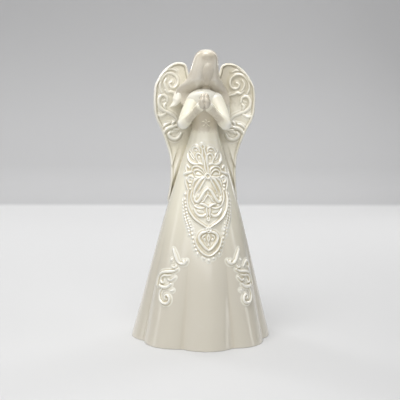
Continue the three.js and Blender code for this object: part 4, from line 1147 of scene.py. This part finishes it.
def makeStage():
    turn = np.linspace(0, np.pi / 2, 24)
    wallAt, sweep = stage["wallAt"], stage["sweep"]
    y = np.concatenate([[stage["front"], 0], wallAt - sweep * (1 - np.sin(turn)), [wallAt]])
    z = np.concatenate([[0, 0], sweep * (1 - np.cos(turn)), [stage["top"]]])
    across = np.array([-1, 1]) * stage["halfWidth"]
    first = 2 * np.arange(len(y) - 1)[:, None]
    mesh = bpy.data.meshes.new("stageSweep")
    mesh.from_pydata(pointsAt(across, y[:, None], z[:, None]).reshape(-1, 3).tolist(), [],
                     (first + np.array([0, 1, 3, 2])).tolist())
    mesh.shade_smooth()
    floor = addToScene("stageSweep", mesh)
    material = bpy.data.materials.new("stagePaper")
    material.use_nodes = True
    tree = material.node_tree
    place = addNode(tree, "TexCoord", {})["Object"]
    parts = addNode(tree, "SeparateXYZ", {"Vector": place})
    # painted shade and light: the wall darkens upwards, and the floor darkens towards the front and pales
    # towards the wall
    wall = mixColours(tree, rangeOf(tree, parts["Z"], 0.03, 0.4), stage["wallLowLit"], stage["wallHighShaded"])
    back = mathOf(tree, "POWER", rangeOf(tree, parts["Y"], -0.25, 1.0), stage["floorPower"])
    ground = mixColours(tree, back, stage["floorNearShaded"], stage["floorFarLit"])
    feed(tree, tree.nodes["Principled BSDF"], {
        "Base Color": mixColours(tree, rangeOf(tree, parts["Z"], 0.0, 0.006), ground, wall),
        "Normal": bumpOf(tree, noiseAt(tree, place, stage["grainScale"], 4.0), stage["grainHeight"]),
        "Roughness": stage["roughness"]})
    floor.data.materials.append(material)
    floor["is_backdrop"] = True


def setFrame(thing, right, up, back, at):
    # columns of the world matrix: the object's own x, y and z axes, then its place
    matrix = np.eye(4)
    matrix[:3] = np.stack([right, up, back, at], -1)
    thing.matrix_world = Matrix(matrix.tolist())


def addLight(name, at, target, size, power):
    # a rectangular soft light that faces its target
    data = bpy.data.lights.new(name, "AREA")
    data.shape = "RECTANGLE"
    data.size, data.size_y = size
    data.energy = power
    back = unit(np.array(at, float) - np.array(target, float))
    across = unit(np.cross([0, 1, 0] if abs(back[2]) > 0.98 else [0, 0, 1], back))
    setFrame(addToScene(name, data), across, np.cross(back, across), back, at)


# angles in degrees, distances in metres, and the focal length and shift in pixels of the picture's width
view = {
    "turn": -7.0, "pitch": 7.55, "roll": 1.05, "distance": 0.78, "height": 0.2235, "sensor": 36.0,
    "focal": 902, "shift": -3.3, "picture": 400,
}


def makeCamera():
    # a pinhole fitted to the photo: level turn, downward pitch and a slight roll about the line of sight
    turn, pitch, roll = (math.radians(view[key]) for key in ("turn", "pitch", "roll"))
    level = np.array([-math.sin(turn), math.cos(turn), 0])
    upright = np.array([0, 0, 1])
    ahead = level * math.cos(pitch) - upright * math.sin(pitch)
    right = np.array([math.cos(turn), math.sin(turn), 0])
    up = np.cross(right, ahead)
    data = bpy.data.cameras.new("camera")
    data.sensor_width = view["sensor"]
    data.lens = view["sensor"] * view["focal"] / view["picture"]
    data.shift_x = view["shift"] / view["picture"]
    camera = addToScene("camera", data)
    setFrame(camera, right * math.cos(roll) + up * math.sin(roll),
             up * math.cos(roll) - right * math.sin(roll), -ahead,
             upright * view["height"] - level * view["distance"])
    bpy.context.scene.camera = camera


makeStage()
# place and target, width and height, and power of each light
for name, *settings in (
    ("keySoftbox", (-0.12, -0.2, 0.68), (0, 0, 0.14), (0.36, 0.3), 2.5),
    ("frontSoftbox", (-0.12, -0.55, 0.45), (0, 0, 0.15), (0.8, 0.5), 1.7),
    ("topSoftbox", (0, 0.15, 1.4), (0, 0.1, 0), (1.4, 1.2), 4.5),
    ("wallWash", (0.25, 0.3, 0.75), (0.1, 0.857, 0.15), (1.0, 0.3), 1.8),
    ("leftStrip", (-1.2, -0.1, 0.35), (0, 0, 0.15), (0.25, 1.0), 0.8),
    ("rightStrip", (1.2, -0.35, 0.4), (0, 0, 0.15), (0.2, 1.0), 1.0),
    ("backLeftStrip", (-0.55, 0.6, 0.6), (0, 0, 0.2), (0.15, 0.7), 1.4),
    ("backRightStrip", (0.6, 0.55, 0.5), (0, 0, 0.18), (0.15, 0.7), 0.7),
):
    addLight(name, *settings)
world = bpy.data.worlds.new("studio")
world.use_nodes = True
feed(world.node_tree, world.node_tree.nodes["Background"], {"Color": (1.0, 1.0, 1.0), "Strength": 0.13})
bpy.context.scene.world = world
bpy.context.scene.view_settings.view_transform = "Standard"
makeCamera()
print("stage, lights and camera made")

low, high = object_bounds()
